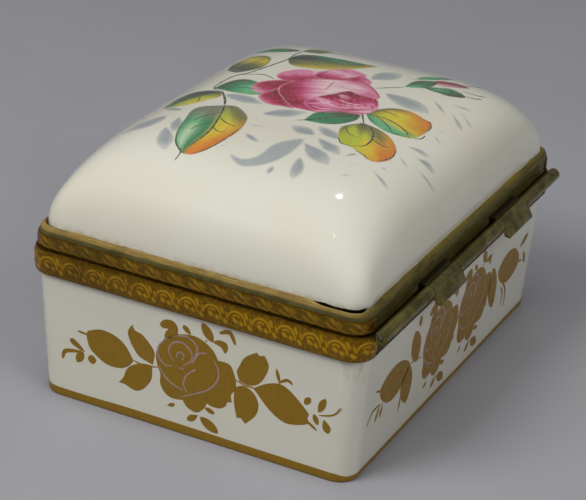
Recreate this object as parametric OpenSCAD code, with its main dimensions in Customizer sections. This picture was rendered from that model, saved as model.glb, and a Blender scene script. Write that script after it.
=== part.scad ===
// Porcelain trinket box: a flared base and a pillow lid, each set in a brass mount, joined by a
// five-knuckle hinge along the back. Millimetres. The origin is the middle of the foot on the
// table, +X along the hinge, -Y to the front and +Z up.

/* [Base] */
// Length of the foot along the hinge
base_w = 125; // [100:1:160]
// Depth of the foot from front to back
base_d = 92.3; // [75:0.1:125]
// Height of the porcelain base
base_h = 42.75; // [32:0.05:60]
// How far each wall leans out from foot to rim
flare = 2; // [0:0.1:4]
// Thickness of the base walls
base_wall = 4; // [3:0.1:6]
// Thickness of the base floor
base_floor = 4.5; // [3:0.1:8]
// Corner radius of the porcelain
corner_r = 5.5; // [4.5:0.1:9]

/* [Lid] */
// Height of the dome above its upright rim
dome_h = 24.2; // [15:0.1:40]
// Height of the upright rim under the dome
lid_rim = 4.7; // [4:0.1:8]
// Thickness of the lid
lid_wall = 4; // [3:0.1:6]
// How far the lid stands in from the base rim
lid_inset = 1.6; // [1.2:0.1:3]
// How square the dome is seen from above
dome_square = 4.9; // [2.5:0.1:7]
// How upright the flanks of the dome are
dome_steep = 2.35; // [1.6:0.05:4]

/* [Mounts] */
// Height of the base mount's outer leg
base_leg = 6.8; // [5:0.1:12]
// Height of the lid mount's outer leg
lid_leg = 4; // [3:0.1:7]
// Rise of the rounded bead that closes on the lid
bead_h = 2.1; // [1.2:0.1:3]
// Thickness of the mount's sheet brass
sheet = 0.5; // [0.4:0.05:0.8]
// Room for cement round the base rim
cement_gap = 0.2; // [0.1:0.05:0.5]
// Gap between the two mounts when shut
shut_gap = 0.3; // [0.1:0.05:0.8]
// Thickness of the embossed strips at the edges
strip_edge = 0.35; // [0.2:0.05:0.8]
// Extra thickness of the embossed strips in the middle
strip_crown = 0.4; // [0.1:0.05:1]

/* [Hinge] */
// Outer diameter of the hinge tube
tube_d = 3.6; // [2.8:0.1:5]
// Diameter of the hinge pin
pin_d = 1.8; // [1:0.1:2]
// Radial clearance of the pin in the tube
pin_clear = 0.05; // [0.02:0.01:0.1]
// Distance from the right end of the rim to the end of the hinge tube
hinge_end = 2.5; // [1:0.5:8]
// Distance from the left end of the rim to the end of the hinge tube
hinge_end_left = 6; // [1:0.5:8]
// Length of each lid knuckle and its stop lug
lid_knuckle = 16.8; // [10:0.1:18]
// Distance from the middle to the inner end of a lid knuckle
lid_knuckle_in = 15.7; // [8:0.1:17]
// Gap between neighbouring knuckles
knuckle_gap = 0.25; // [0.1:0.05:0.6]
// Gap between the tube and the back of the base mount
tube_gap = 0.7; // [0.2:0.05:1]
// Height of the hinge axis above the parting line
axis_up = 0.4; // [0:0.1:1]
// How far the stop lugs stand out from the tube
lug_out = 1.85; // [1.5:0.05:2]
// How far the stop lugs hang below the tube
lug_drop = 1.3; // [1:0.05:1.3]

/* [Clasp] */
// Width of the clasp tab
tab_w = 13; // [9:0.5:20]
// Thickness of the clasp tab
tab_t = 0.9; // [0.6:0.1:1.5]
// Width of the slot that grips the stud
slot_w = 2.2; // [1.6:0.1:3]
// Clearance round the stud and behind the tab
clasp_clear = 0.3; // [0.2:0.05:0.6]

/* [Hidden] */

PORCELAIN = [0.87, 0.86, 0.79];
BRASS = [0.55, 0.40, 0.12];
PLASTER = [0.72, 0.62, 0.36];
STEEL = [0.45, 0.43, 0.40];

// Outline of the base rim, which every mount piece follows
rim_w = base_w + 2 * flare;
rim_d = base_d + 2 * flare;
// Heights, from the rim up
flange_in = base_wall + cement_gap;
base_mount_top = base_h + cement_gap + sheet;
parting_z = base_mount_top + shut_gap / 2;
lid_mount_z = parting_z + shut_gap / 2;
lid_foot_z = lid_mount_z + sheet + cement_gap;
lid_dome_z = lid_foot_z + lid_rim;
lid_leg_z = lid_mount_z + lid_leg;
// Mount faces, as offsets out from the rim outline
base_leg_in = cement_gap;
base_leg_out = base_leg_in + sheet;
cement_short = 2;
cement_depth = base_leg - cement_short;
lid_leg_out = 0;
lid_leg_in = lid_leg_out - sheet;
bead_in = -lid_inset + cement_gap;
// Hinge axis
tube_r = tube_d / 2;
bore_r = pin_d / 2 + pin_clear;
axis_y = rim_d / 2 + base_leg_out + tube_gap + tube_r;
axis_z = parting_z + axis_up;
// Leaves that join the knuckles to the mounts
leaf_t = 1.4;
leaf_drop = 0.45;
leaf_bore_wall = 0.2;
leaf_end = rim_w / 2 - corner_r - knuckle_gap;
// Ends of the five knuckles
knuckle_a = lid_knuckle_in;
knuckle_b = lid_knuckle_in + lid_knuckle;
knuckle_end = rim_w / 2 - hinge_end;
knuckle_end_left = rim_w / 2 - hinge_end_left;
pin_recess = 0.3;
// Embossed strips
strip_out = strip_edge + strip_crown;
strip_margin = 0.15;
strip_bevel = 0.3;
// Clasp, on the front
tab_margin = 0.7;
tab_back = base_leg_out + strip_out + clasp_clear;
tab_top = lid_mount_z + lid_leg - tab_margin;
tab_bottom = parting_z - base_leg + tab_margin;
stud_z = parting_z - base_leg / 2;
stud_r = slot_w / 2 - clasp_clear;
stud_lip = 0.6;
stud_head_r = slot_w / 2 + stud_lip;
// Steps of the curves, and a small length that keeps touching pieces from merging
corner_steps = 8;
dome_nx = 12;
dome_ny = 10;
join = 0.01;
min_corner_r = 0.8;

// Points of a rounded rectangle
function rounded(w, d, r) = [
    for (k = [0:3], s = [0:corner_steps])
        let (a = 90 * (k + s / corner_steps), sx = (k == 0 || k == 3) ? 1 : -1, sy = k < 2 ? 1 : -1)
            [sx * (w / 2 - r) + r * cos(a), sy * (d / 2 - r) + r * sin(a)]
];

// Straight-sided block on a rounded rectangle
module slab(w, d, r, h) {
    linear_extrude(h) polygon(rounded(w, d, r));
}

// The rim outline moved out by a distance
module rim_slab(out, h) {
    slab(rim_w + 2 * out, rim_d + 2 * out, max(corner_r + out, min_corner_r), h);
}

// Flat ring between two outlines
module rim_ring(out, in, h) {
    difference() {
        rim_slab(out, h);
        translate([0, 0, -1]) rim_slab(in, h + 2);
    }
}

// Carries a section round the rim. Side 0 is +X, 1 is the back, 2 is -X and 3 is the front
module moulding(sides) {
    for (k = sides)
        rotate([0, 0, 90 * k])
            translate([(k % 2 == 0 ? rim_w : rim_d) / 2, 0, 0])
                rotate([90, 0, 0])
                    linear_extrude((k % 2 == 0 ? rim_d : rim_w) - 2 * corner_r, center = true)
                        children();
    for (k = [0:3])
        rotate([0, 0, 90 * k])
            translate([(k % 2 == 0 ? rim_w : rim_d) / 2 - corner_r,
                       (k % 2 == 0 ? rim_d : rim_w) / 2 - corner_r, 0])
                rotate_extrude(angle = 90)
                    translate([corner_r, 0])
                        children();
}

module base_porcelain() {
    fillet = 5;
    soften = 2;
    inner_w = base_w - 2 * base_wall;
    inner_d = base_d - 2 * base_wall;
    inner_r = max(corner_r - base_wall, 0) + soften;
    color(PORCELAIN)
        difference() {
            hull() {
                slab(base_w, base_d, corner_r, join);
                translate([0, 0, base_h - join]) slab(rim_w, rim_d, corner_r, join);
            }
            hull() {
                translate([0, 0, base_floor])
                    slab(inner_w - fillet, inner_d - fillet, inner_r, join);
                translate([0, 0, base_floor + fillet / 4])
                    slab(inner_w - fillet / 3, inner_d - fillet / 3, inner_r, join);
                translate([0, 0, base_floor + fillet])
                    slab(inner_w + flare / 2, inner_d + flare / 2, inner_r, join);
                translate([0, 0, base_h + 1])
                    slab(rim_w - 2 * base_wall, rim_d - 2 * base_wall, inner_r, join);
            }
        }
}

module base_cement() {
    color(PLASTER)
        translate([0, 0, base_h - cement_depth])
            rim_ring(base_leg_in, join, cement_depth);
}

module base_mount() {
    color(BRASS) {
        moulding([0, 1, 2, 3])
            translate([base_leg_in, base_mount_top - base_leg]) square([sheet, base_leg]);
        translate([0, 0, base_mount_top - sheet]) rim_ring(base_leg_in + sheet / 2, -flange_in, sheet);
    }
}

// Section of an embossed strip: flat behind, bowed in front
module strip_section(bottom, top) {
    h = top - bottom - 2 * strip_margin;
    chord = h - 2 * strip_bevel;
    bow_r = (chord * chord / 4 + strip_crown * strip_crown) / (2 * strip_crown);
    translate([0, (top + bottom) / 2])
        intersection() {
            translate([0, -h / 2]) square([strip_out, h]);
            union() {
                translate([0, -h / 2]) square([strip_edge, h]);
                translate([strip_out - bow_r, 0]) circle(bow_r, $fn = 96);
            }
        }
}

module base_strip() {
    color(BRASS)
        difference() {
            moulding([0, 2, 3])
                translate([base_leg_out, 0])
                    strip_section(base_mount_top - base_leg, base_mount_top);
            stud_shank(2 * strip_out);
        }
}

// Point of the dome over a square from -1 to 1, with its corners rounded to radius r
function rise(t) = pow(max(0, 1 - pow(abs(t), dome_square)), 1 / dome_steep);
function dome_point(u, v, w, d, h, r) =
    let (dx = (abs(u) * w / 2 - (w / 2 - r)) / r, dy = (abs(v) * d / 2 - (d / 2 - r)) / r,
         corner = dx > 0 && dy > 0)
        [sign(u) * (corner ? w / 2 - r + r * dx * sqrt(1 - dy * dy / 2) : abs(u) * w / 2),
         sign(v) * (corner ? d / 2 - r + r * dy * sqrt(1 - dx * dx / 2) : abs(v) * d / 2),
         lid_dome_z + h * rise(u) * rise(v)];
function dome_grid(w, d, h, r) = [
    for (i = [-dome_nx:dome_nx], j = [-dome_ny:dome_ny])
        dome_point(sin(90 * i / dome_nx), sin(90 * j / dome_ny), w, d, h, r)
];

module lid_porcelain() {
    outer_round = 0.3;
    inner_round = -1;
    rows = 2 * dome_nx;
    cols = 2 * dome_ny;
    count = (rows + 1) * (cols + 1);
    outer_w = rim_w - 2 * lid_inset;
    outer_d = rim_d - 2 * lid_inset;
    outer = dome_grid(outer_w, outer_d, dome_h, corner_r + outer_round);
    inner = dome_grid(outer_w - 2 * lid_wall, outer_d - 2 * lid_wall, dome_h - lid_wall,
                      corner_r + inner_round);
    edge = concat([for (i = [0:rows - 1]) i * (cols + 1)],
                  [for (j = [0:cols - 1]) rows * (cols + 1) + j],
                  [for (i = [rows:-1:1]) i * (cols + 1) + cols],
                  [for (j = [cols:-1:1]) j]);
    n = len(edge);
    foot = function (grid) [for (e = edge) [grid[e][0], grid[e][1], lid_foot_z]];
    // Order of the points: outer dome, its foot, inner dome, its foot
    foot_0 = count;
    inner_0 = count + n;
    inner_foot_0 = 2 * count + n;
    quad = function (a, b, c, d) [[a, b, c], [a, c, d]];
    cells = [for (i = [0:rows - 1], j = [0:cols - 1]) i * (cols + 1) + j];
    faces = concat(
        [for (c = cells) each quad(c, c + 1, c + cols + 2, c + cols + 1)],
        [for (k = [0:n - 1]) each quad(edge[k], edge[(k + 1) % n], foot_0 + (k + 1) % n, foot_0 + k)],
        [for (k = [0:n - 1]) each quad(foot_0 + k, foot_0 + (k + 1) % n,
                                       inner_foot_0 + (k + 1) % n, inner_foot_0 + k)],
        [for (k = [0:n - 1]) each quad(inner_foot_0 + k, inner_foot_0 + (k + 1) % n,
                                       inner_0 + edge[(k + 1) % n], inner_0 + edge[k])],
        [for (c = cells) each quad(inner_0 + c, inner_0 + c + cols + 1,
                                   inner_0 + c + cols + 2, inner_0 + c + 1)]);
    color(PORCELAIN)
        polyhedron(concat(outer, foot(outer), inner, foot(inner)), faces);
}

module lid_cement() {
    color(PLASTER)
        translate([0, 0, lid_mount_z + sheet])
            rim_ring(lid_leg_in, -lid_inset + join, lid_leg - sheet);
}

// Section of the lid mount's leg, whose top curls in over the cement to the porcelain
module lid_leg_section() {
    bead_steps = 6;
    reach = lid_leg_out - bead_in;
    curl = function (cut) [for (s = [0:bead_steps])
        let (a = 90 * s / bead_steps)
            [bead_in + (reach - cut) * cos(a), lid_leg_z + (bead_h - cut) * sin(a)]];
    outer = curl(0);
    inner = curl(sheet);
    polygon(concat([[lid_leg_in, lid_mount_z], [lid_leg_out, lid_mount_z]], outer,
                   [for (s = [bead_steps:-1:0]) inner[s]]));
}

module lid_mount() {
    color(BRASS) {
        moulding([0, 1, 2, 3]) lid_leg_section();
        translate([0, 0, lid_mount_z])
            rim_ring(lid_leg_in + sheet / 2, -lid_inset - lid_wall, sheet);
    }
}

module lid_strip() {
    color(BRASS) lid_strip_body();
}

module lid_strip_body() {
    moulding([0, 2, 3])
        translate([lid_leg_out, 0]) strip_section(lid_mount_z, lid_leg_z);
}

// A piece along X on the hinge axis
module on_axis(x, length) {
    translate([x, axis_y, axis_z]) rotate([0, 90, 0]) cylinder(h = length, r = tube_r, $fn = 48);
}

module axis_bore() {
    translate([-rim_w, axis_y, axis_z])
        rotate([0, 90, 0]) cylinder(h = 2 * rim_w, r = bore_r, $fn = 48);
}

// Knuckle from x to x + length, with a leaf to a mount face that keeps to the straight of the rim.
// up is 1 for the lid and -1 for the base
module knuckle(x, length, face_y, up) {
    leaf_x = max(x, -leaf_end);
    leaf_w = min(x + length, leaf_end) - leaf_x;
    leaf_y = axis_y - bore_r - leaf_bore_wall;
    leaf_z = up > 0 ? axis_z + leaf_drop : parting_z - leaf_drop - leaf_t;
    color(BRASS)
        difference() {
            union() {
                on_axis(x, length);
                translate([leaf_x, face_y, leaf_z]) cube([leaf_w, leaf_y - face_y, leaf_t]);
            }
            axis_bore();
        }
}

module base_knuckle(x, length) {
    knuckle(x, length, rim_d / 2 + base_leg_out, -1);
}

module lid_knuckle(x, length) {
    knuckle(x, length, rim_d / 2 + lid_leg_out, 1);
}

module base_knuckle_left() {
    base_knuckle(-knuckle_end_left, knuckle_end_left - knuckle_b - knuckle_gap);
}

module base_knuckle_middle() {
    base_knuckle(-knuckle_a + knuckle_gap, 2 * (knuckle_a - knuckle_gap));
}

module base_knuckle_right() {
    base_knuckle(knuckle_b + knuckle_gap, knuckle_end - knuckle_b - knuckle_gap);
}

module lid_knuckle_left() {
    lid_knuckle(-knuckle_b, lid_knuckle);
}

module lid_knuckle_right() {
    lid_knuckle(knuckle_a, lid_knuckle);
}

module hinge_pin() {
    color(STEEL)
        translate([-knuckle_end_left + pin_recess, axis_y, axis_z])
            rotate([0, 90, 0])
                cylinder(h = knuckle_end_left + knuckle_end - 2 * pin_recess, r = pin_d / 2, $fn = 48);
}

// Wedge brazed under a lid knuckle. It meets the back of the base mount when the lid is open
module stop_lug(x) {
    tip = tube_r + lug_out;
    low = -tube_r - lug_drop;
    color(BRASS)
        difference() {
            translate([x, axis_y, axis_z])
                rotate([90, 0, 90])
                    linear_extrude(lid_knuckle)
                        polygon([[0.7 * tube_r, 0.45 * tube_r], [tube_r + 0.4 * lug_out, -0.2 * tube_r],
                                 [tip, low + 0.45], [tip - 0.07, low + 0.2], [tip - 0.25, low],
                                 [tube_r + 0.1, low + 0.25], [0.75 * tube_r, -0.62 * tube_r]]);
            on_axis(x - 1, lid_knuckle + 2);
        }
}

module stop_lug_left() {
    stop_lug(-knuckle_b);
}

module stop_lug_right() {
    stop_lug(knuckle_a);
}

// Shank of the stud, from the leg of the base mount out to the front
module stud_shank(length) {
    translate([0, -rim_d / 2 - base_leg_out, stud_z])
        rotate([90, 0, 0]) cylinder(h = length, r = stud_r, $fn = 32);
}

// Stud on the front of the base: a shank through the tab's slot and a round head
module clasp_stud() {
    head_t = 0.9;
    head_back = tab_back - base_leg_out + tab_t + clasp_clear;
    color(BRASS)
        union() {
            stud_shank(head_back + head_t / 2);
            translate([0, -rim_d / 2 - base_leg_out - head_back, stud_z])
                rotate([90, 0, 0])
                    cylinder(h = head_t, r1 = stud_head_r, r2 = stud_head_r - 0.5, $fn = 32);
        }
}

// Tab on the front of the lid, slotted over the stud and brazed to the lid's strip
module clasp_tab() {
    shoulder = 0.8;
    bow = tab_top - 2 * shoulder - tab_bottom;
    arc_steps = 24;
    boss_side = 2;
    boss_drop = 0.4;
    boss_w = tab_w - 2 * boss_side;
    boss_h = tab_top - boss_drop - (lid_mount_z + boss_drop + 2 * strip_margin);
    front = rim_d / 2 + tab_back;
    boss_back = rim_d / 2 + lid_leg_out + strip_edge;
    color(BRASS)
        difference() {
            union() {
                translate([0, -front, 0])
                    rotate([90, 0, 0])
                        linear_extrude(tab_t)
                            polygon(concat(
                                [for (s = [0:arc_steps])
                                    let (a = 180 + 180 * s / arc_steps)
                                        [tab_w / 2 * cos(a), tab_bottom + bow * (1 + sin(a))]],
                                [[tab_w / 2, tab_top - shoulder], [tab_w / 2 - shoulder, tab_top],
                                 [shoulder - tab_w / 2, tab_top], [-tab_w / 2, tab_top - shoulder]]));
                translate([-boss_w / 2, -front, tab_top - boss_h - boss_drop])
                    cube([boss_w, front - boss_back, boss_h]);
            }
            translate([-slot_w / 2, -front - 2 * tab_t, tab_bottom - tab_t])
                cube([slot_w, 3 * tab_t, stud_z + slot_w / 2 - tab_bottom + tab_t]);
            lid_strip_body();
        }
}

base_porcelain();
base_cement();
base_mount();
base_strip();
lid_porcelain();
lid_cement();
lid_mount();
lid_strip();
hinge_pin();
base_knuckle_left();
base_knuckle_middle();
base_knuckle_right();
lid_knuckle_left();
lid_knuckle_right();
stop_lug_left();
stop_lug_right();
clasp_stud();
clasp_tab();
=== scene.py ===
"""Porcelain trinket box: glazed walls and dome with painted flowers, gilt brass mounts and hinge.

Sizes are in millimetres until a mesh is made. The walls, mounts and hinge take their places from the
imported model. Painted motifs are placed in plan on the lid, and by width and height on each wall.
"""
import math

import bmesh
import bpy
import numpy as np
from mathutils import Matrix, Vector


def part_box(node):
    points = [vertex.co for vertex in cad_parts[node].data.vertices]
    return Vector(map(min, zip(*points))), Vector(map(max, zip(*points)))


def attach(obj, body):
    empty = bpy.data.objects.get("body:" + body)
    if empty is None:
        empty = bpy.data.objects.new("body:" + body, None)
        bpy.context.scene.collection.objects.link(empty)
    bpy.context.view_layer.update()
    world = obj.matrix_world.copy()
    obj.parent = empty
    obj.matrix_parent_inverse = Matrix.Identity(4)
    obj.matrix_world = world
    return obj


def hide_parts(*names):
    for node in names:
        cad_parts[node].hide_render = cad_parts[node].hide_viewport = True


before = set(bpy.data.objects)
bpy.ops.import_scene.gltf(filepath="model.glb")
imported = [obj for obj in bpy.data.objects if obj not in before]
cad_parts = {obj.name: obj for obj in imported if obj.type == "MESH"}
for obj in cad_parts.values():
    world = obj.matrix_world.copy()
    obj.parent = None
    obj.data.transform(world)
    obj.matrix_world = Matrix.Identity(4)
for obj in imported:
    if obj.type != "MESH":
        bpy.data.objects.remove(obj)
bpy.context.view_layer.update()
MM = 0.001


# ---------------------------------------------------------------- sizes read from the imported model
def node_box(name):
    """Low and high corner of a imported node, in millimetres."""
    low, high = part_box(name)
    return np.array(low) / MM, np.array(high) / MM


BASE_LOW, BASE_HIGH = node_box("base_porcelain")
RIM_W, RIM_D, BASE_H = BASE_HIGH - BASE_LOW
FOOT_W = 2 * max(v.co.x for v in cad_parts["base_porcelain"].data.vertices if v.co.z < MM) / MM
FLARE = (RIM_W - FOOT_W) / 2
CORNER_R = 5.5
WALL = 4.0
FLOOR = 4.5

LID_LOW, LID_HIGH = node_box("lid_porcelain")
LID_W, LID_D = (LID_HIGH - LID_LOW)[:2]
LID_FOOT = LID_LOW[2]
DOME_H = 24.2
DOME_Z = LID_HIGH[2] - DOME_H
DOME_SQUARE = 4.9
DOME_STEEP = 2.35
DOME_R = CORNER_R + 0.3

HINGE_Y, HINGE_Z = ((a + b) / 2 * MM for a, b in list(zip(*node_box("hinge_pin")))[1:])
BASE_MOUNT_LOW, BASE_MOUNT_HIGH = node_box("base_mount")
BASE_LEG_OUT = (BASE_MOUNT_HIGH[0] - BASE_MOUNT_LOW[0] - RIM_W) / 2
LID_MOUNT_LOW, LID_MOUNT_HIGH = node_box("lid_mount")
BEAD_H = 2.1
SHEET = 0.5
LID_LEG_TOP = LID_MOUNT_HIGH[2] - BEAD_H
BEAD_IN = (LID_W - RIM_W) / 2 + 0.2


# ---------------------------------------------------------------- small tools
def srgb(r, g, b):
    """A colour given as 0 to 255, as linear light."""
    c = np.array([r, g, b]) / 255.0
    return np.where(c <= 0.04045, c / 12.92, ((c + 0.055) / 1.055) ** 2.4)


def ease(t):
    """A smooth step from 0 to 1, flat at both ends."""
    t = np.clip(t, 0, 1)
    return t * t * (3 - 2 * t)


def value_noise(x, y, seed):
    """Smooth noise from 0 to 1 over a plane, one lattice cell per unit."""
    size = 64
    lattice = np.random.RandomState(seed).rand(size, size)
    x, y = np.asarray(x, float), np.asarray(y, float)
    i, j = np.floor(x).astype(int), np.floor(y).astype(int)
    u, v = ease(x - i), ease(y - j)
    a, b = lattice[i % size, j % size], lattice[(i + 1) % size, j % size]
    c, d = lattice[i % size, (j + 1) % size], lattice[(i + 1) % size, (j + 1) % size]
    return (a * (1 - u) + b * u) * (1 - v) + (c * (1 - u) + d * u) * v


def curve(points, steps, closed=False):
    """A smooth curve through the points."""
    p = np.array(points, float)
    n = len(p)
    spans = n if closed else n - 1
    out = []
    for k in range(spans):
        if closed:
            a, b, c, d = p[(k - 1) % n], p[k], p[(k + 1) % n], p[(k + 2) % n]
        else:
            a, b, c, d = p[max(k - 1, 0)], p[k], p[k + 1], p[min(k + 2, n - 1)]
        for t in np.arange(steps) / steps:
            out.append(0.5 * (2 * b + (c - a) * t + (2 * a - 5 * b + 4 * c - d) * t * t
                              + (3 * b - a - 3 * c + d) * t ** 3))
    if not closed:
        out.append(p[-1])
    return np.array(out)


def new_piece(name, verts, faces, body, material, slot, stands_for=(), sharp=40, values=None):
    """A mesh piece from millimetre points, its edges sharp past that angle. values maps attribute
    names to one value per point."""
    mesh = bpy.data.meshes.new(name)
    mesh.from_pydata([tuple(v) for v in np.asarray(verts, float) * MM], [], faces)
    for key, data in (values or {}).items():
        data = np.asarray(data, np.float32)
        kind = "FLOAT_COLOR" if data.ndim == 2 else "FLOAT"
        attribute = mesh.attributes.new(key, kind, "POINT")
        attribute.data.foreach_set("color" if data.ndim == 2 else "value", data.ravel())
    bm = bmesh.new()
    bm.from_mesh(mesh)
    bmesh.ops.recalc_face_normals(bm, faces=bm.faces)
    bm.to_mesh(mesh)
    bm.free()
    mesh.validate()
    mesh.shade_smooth()
    mesh.set_sharp_from_angle(angle=math.radians(sharp))
    made = bpy.data.objects.new(name, mesh)
    bpy.context.scene.collection.objects.link(made)
    made.data.materials.append(material)
    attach(made, body)
    if stands_for:
        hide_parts(*stands_for)
    return made


def grid_faces(rows, cols, first=0, wrap_rows=False, wrap_cols=False):
    """Quads over a grid of points numbered row by row."""
    faces = []
    for i in range(rows if wrap_rows else rows - 1):
        for j in range(cols if wrap_cols else cols - 1):
            a, b = first + i * cols, first + (i + 1) % rows * cols
            faces.append((a + j, b + j, b + (j + 1) % cols, a + (j + 1) % cols))
    return faces


def rim_path(w, d, r, step, closed=True):
    """Points and outward directions round a rounded rectangle, clockwise from the +X end of the back."""
    points, outs = [], []
    for k, (sx, sy) in enumerate([(1, 1), (1, -1), (-1, -1), (-1, 1)]):
        centre = np.array([sx * (w / 2 - r), sy * (d / 2 - r)])
        arc = max(6, round(CORNER_R * math.pi / 2 / step))
        last = k == 3 and not closed
        for i in range(arc + 1 if last else arc):
            angle = math.radians(90 - 90 * k - 90 * i / arc)
            out = np.array([math.cos(angle), math.sin(angle)])
            points.append(centre + r * out)
            outs.append(out)
        if last:
            break
        length = (RIM_D if k % 2 == 0 else RIM_W) - 2 * CORNER_R
        here = (d if k % 2 == 0 else w) - 2 * r
        run = max(1, round(length / step))
        angle = math.radians(-90 * k)
        out = np.array([math.cos(angle), math.sin(angle)])
        along = np.array([out[1], -out[0]])
        for i in range(run):
            points.append(centre + r * out + along * here * i / run)
            outs.append(out)
    return np.array(points), np.array(outs)


def beside(base, tip, x, y):
    """How far points lie along the line from base to tip, 0 to 1, and how far to its left."""
    base, tip = np.array(base, float), np.array(tip, float)
    span = np.linalg.norm(tip - base)
    along = (tip - base) / span
    dx, dy = x - base[0], y - base[1]
    return (dx * along[0] + dy * along[1]) / span, -dx * along[1] + dy * along[0]


def segment_gap(x, y, a, b):
    """Distance of points to the line from a to b."""
    (ax, ay), (bx, by) = a, b
    t = np.clip(((x - ax) * (bx - ax) + (y - ay) * (by - ay)) / ((bx - ax) ** 2 + (by - ay) ** 2), 0, 1)
    return np.hypot(x - ax - t * (bx - ax), y - ay - t * (by - ay))


def merged(parts):
    """Verts and faces of several (verts, faces) pairs as one pair."""
    verts, faces = [], []
    for more, more_faces in parts:
        first = len(verts)
        verts.extend(more)
        faces.extend(tuple(first + k for k in face) for face in more_faces)
    return verts, faces


# ---------------------------------------------------------------- materials
class Shader:
    """A material's node tree, with short calls for the nodes used here."""

    def __init__(self, name, **sockets):
        self.material = bpy.data.materials.new(name)
        self.material.use_nodes = True
        self.tree = self.material.node_tree
        self.bsdf = self.tree.nodes["Principled BSDF"]
        self.place = self.tree.nodes.new("ShaderNodeTexCoord").outputs["Object"]
        for key, value in sockets.items():
            self.bsdf.inputs[key.replace("_", " ")].default_value = value

    def node(self, kind, fields=None, **inputs):
        made = self.tree.nodes.new(kind)
        for key, value in (fields or {}).items():
            setattr(made, key, value)
        for key, value in inputs.items():
            self.feed(made.inputs[key.replace("_", " ")], value)
        return made

    def feed(self, socket, value):
        if isinstance(value, bpy.types.NodeSocket):
            self.tree.links.new(value, socket)
        else:
            socket.default_value = value

    def stretched(self, x, y, z):
        made = self.node("ShaderNodeMapping", Vector=self.place)
        made.inputs["Scale"].default_value = (x, y, z)
        return made.outputs["Vector"]

    def noise(self, scale, detail=3.0, rough=0.5, vector=None, twist=0.0):
        """Noise with about scale features per millimetre."""
        made = self.node("ShaderNodeTexNoise", Vector=vector or self.place, Scale=scale / MM,
                         Detail=detail, Roughness=rough, Distortion=twist)
        return made.outputs["Fac"]

    def between(self, value, low, high, to_low=0.0, to_high=1.0):
        made = self.node("ShaderNodeMapRange", {"interpolation_type": "SMOOTHSTEP"}, Value=value)
        for key, number in zip(("From Min", "From Max", "To Min", "To Max"), (low, high, to_low, to_high)):
            made.inputs[key].default_value = number
        return made.outputs["Result"]

    def math(self, operation, a, b=0.0):
        made = self.tree.nodes.new("ShaderNodeMath")
        made.operation = operation
        self.feed(made.inputs[0], a)
        self.feed(made.inputs[1], b)
        return made.outputs[0]

    def mix(self, share, a, b):
        made = self.tree.nodes.new("ShaderNodeMix")
        made.data_type = "RGBA"
        self.feed(made.inputs[0], share)
        for socket, value in ((made.inputs[6], a), (made.inputs[7], b)):
            self.feed(socket, value if isinstance(value, bpy.types.NodeSocket) else (*value, 1.0))
        return made.outputs[2]

    def attribute(self, name, output="Fac"):
        return self.node("ShaderNodeAttribute", {"attribute_name": name}).outputs[output]

    def axis(self, name):
        """A coordinate of the shut box, in millimetres. Z is the height above the table."""
        split = self.node("ShaderNodeSeparateXYZ", Vector=self.place)
        return self.math("DIVIDE", split.outputs[name], MM)

    def height(self):
        return self.axis("Z")

    def behind(self, share):
        """0 up to share, on the hinge side, where the brass is painted darker: olive tarnish with painted
        shade.
        """
        return self.between(self.axis("Y"), HINGE_SIDE_FROM, HINGE_SIDE_TO, 0, share)

    def distance(self, x, y, z):
        """Distance from a point, in millimetres."""
        made = self.node("ShaderNodeVectorMath", {"operation": "DISTANCE"})
        self.feed(made.inputs[0], self.place)
        made.inputs[1].default_value = (x * MM, y * MM, z * MM)
        return self.math("DIVIDE", made.outputs["Value"], MM)

    def colour(self, value):
        self.feed(self.bsdf.inputs["Base Color"], value if isinstance(value, bpy.types.NodeSocket)
                  else (*value, 1.0))

    def rough(self, value):
        self.feed(self.bsdf.inputs["Roughness"], value)

    def bump(self, height, depth, strength=1.0):
        """Bump of a 0 to 1 height, depth millimetres deep."""
        made = self.node("ShaderNodeBump", Height=height)
        made.inputs["Strength"].default_value = strength
        made.inputs["Distance"].default_value = depth * MM
        if self.bsdf.inputs["Normal"].is_linked:
            self.feed(made.inputs["Normal"], self.bsdf.inputs["Normal"].links[0].from_socket)
        self.feed(self.bsdf.inputs["Normal"], made.outputs["Normal"])


GLAZE = srgb(220, 218, 204)
GLAZE_WARM = srgb(214, 204, 176)
STAIN = srgb(126, 98, 50)
YELLOWED = srgb(170, 142, 84)
# Near black, painted at the cracked corner as the shade of the open joint.
CRACK_SHADE = srgb(14, 11, 7)
HINGE_SIDE_FROM, HINGE_SIDE_TO = 44.5, 47.6
CRACK_PLACE = (62.5, 40, 49.5)


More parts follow.
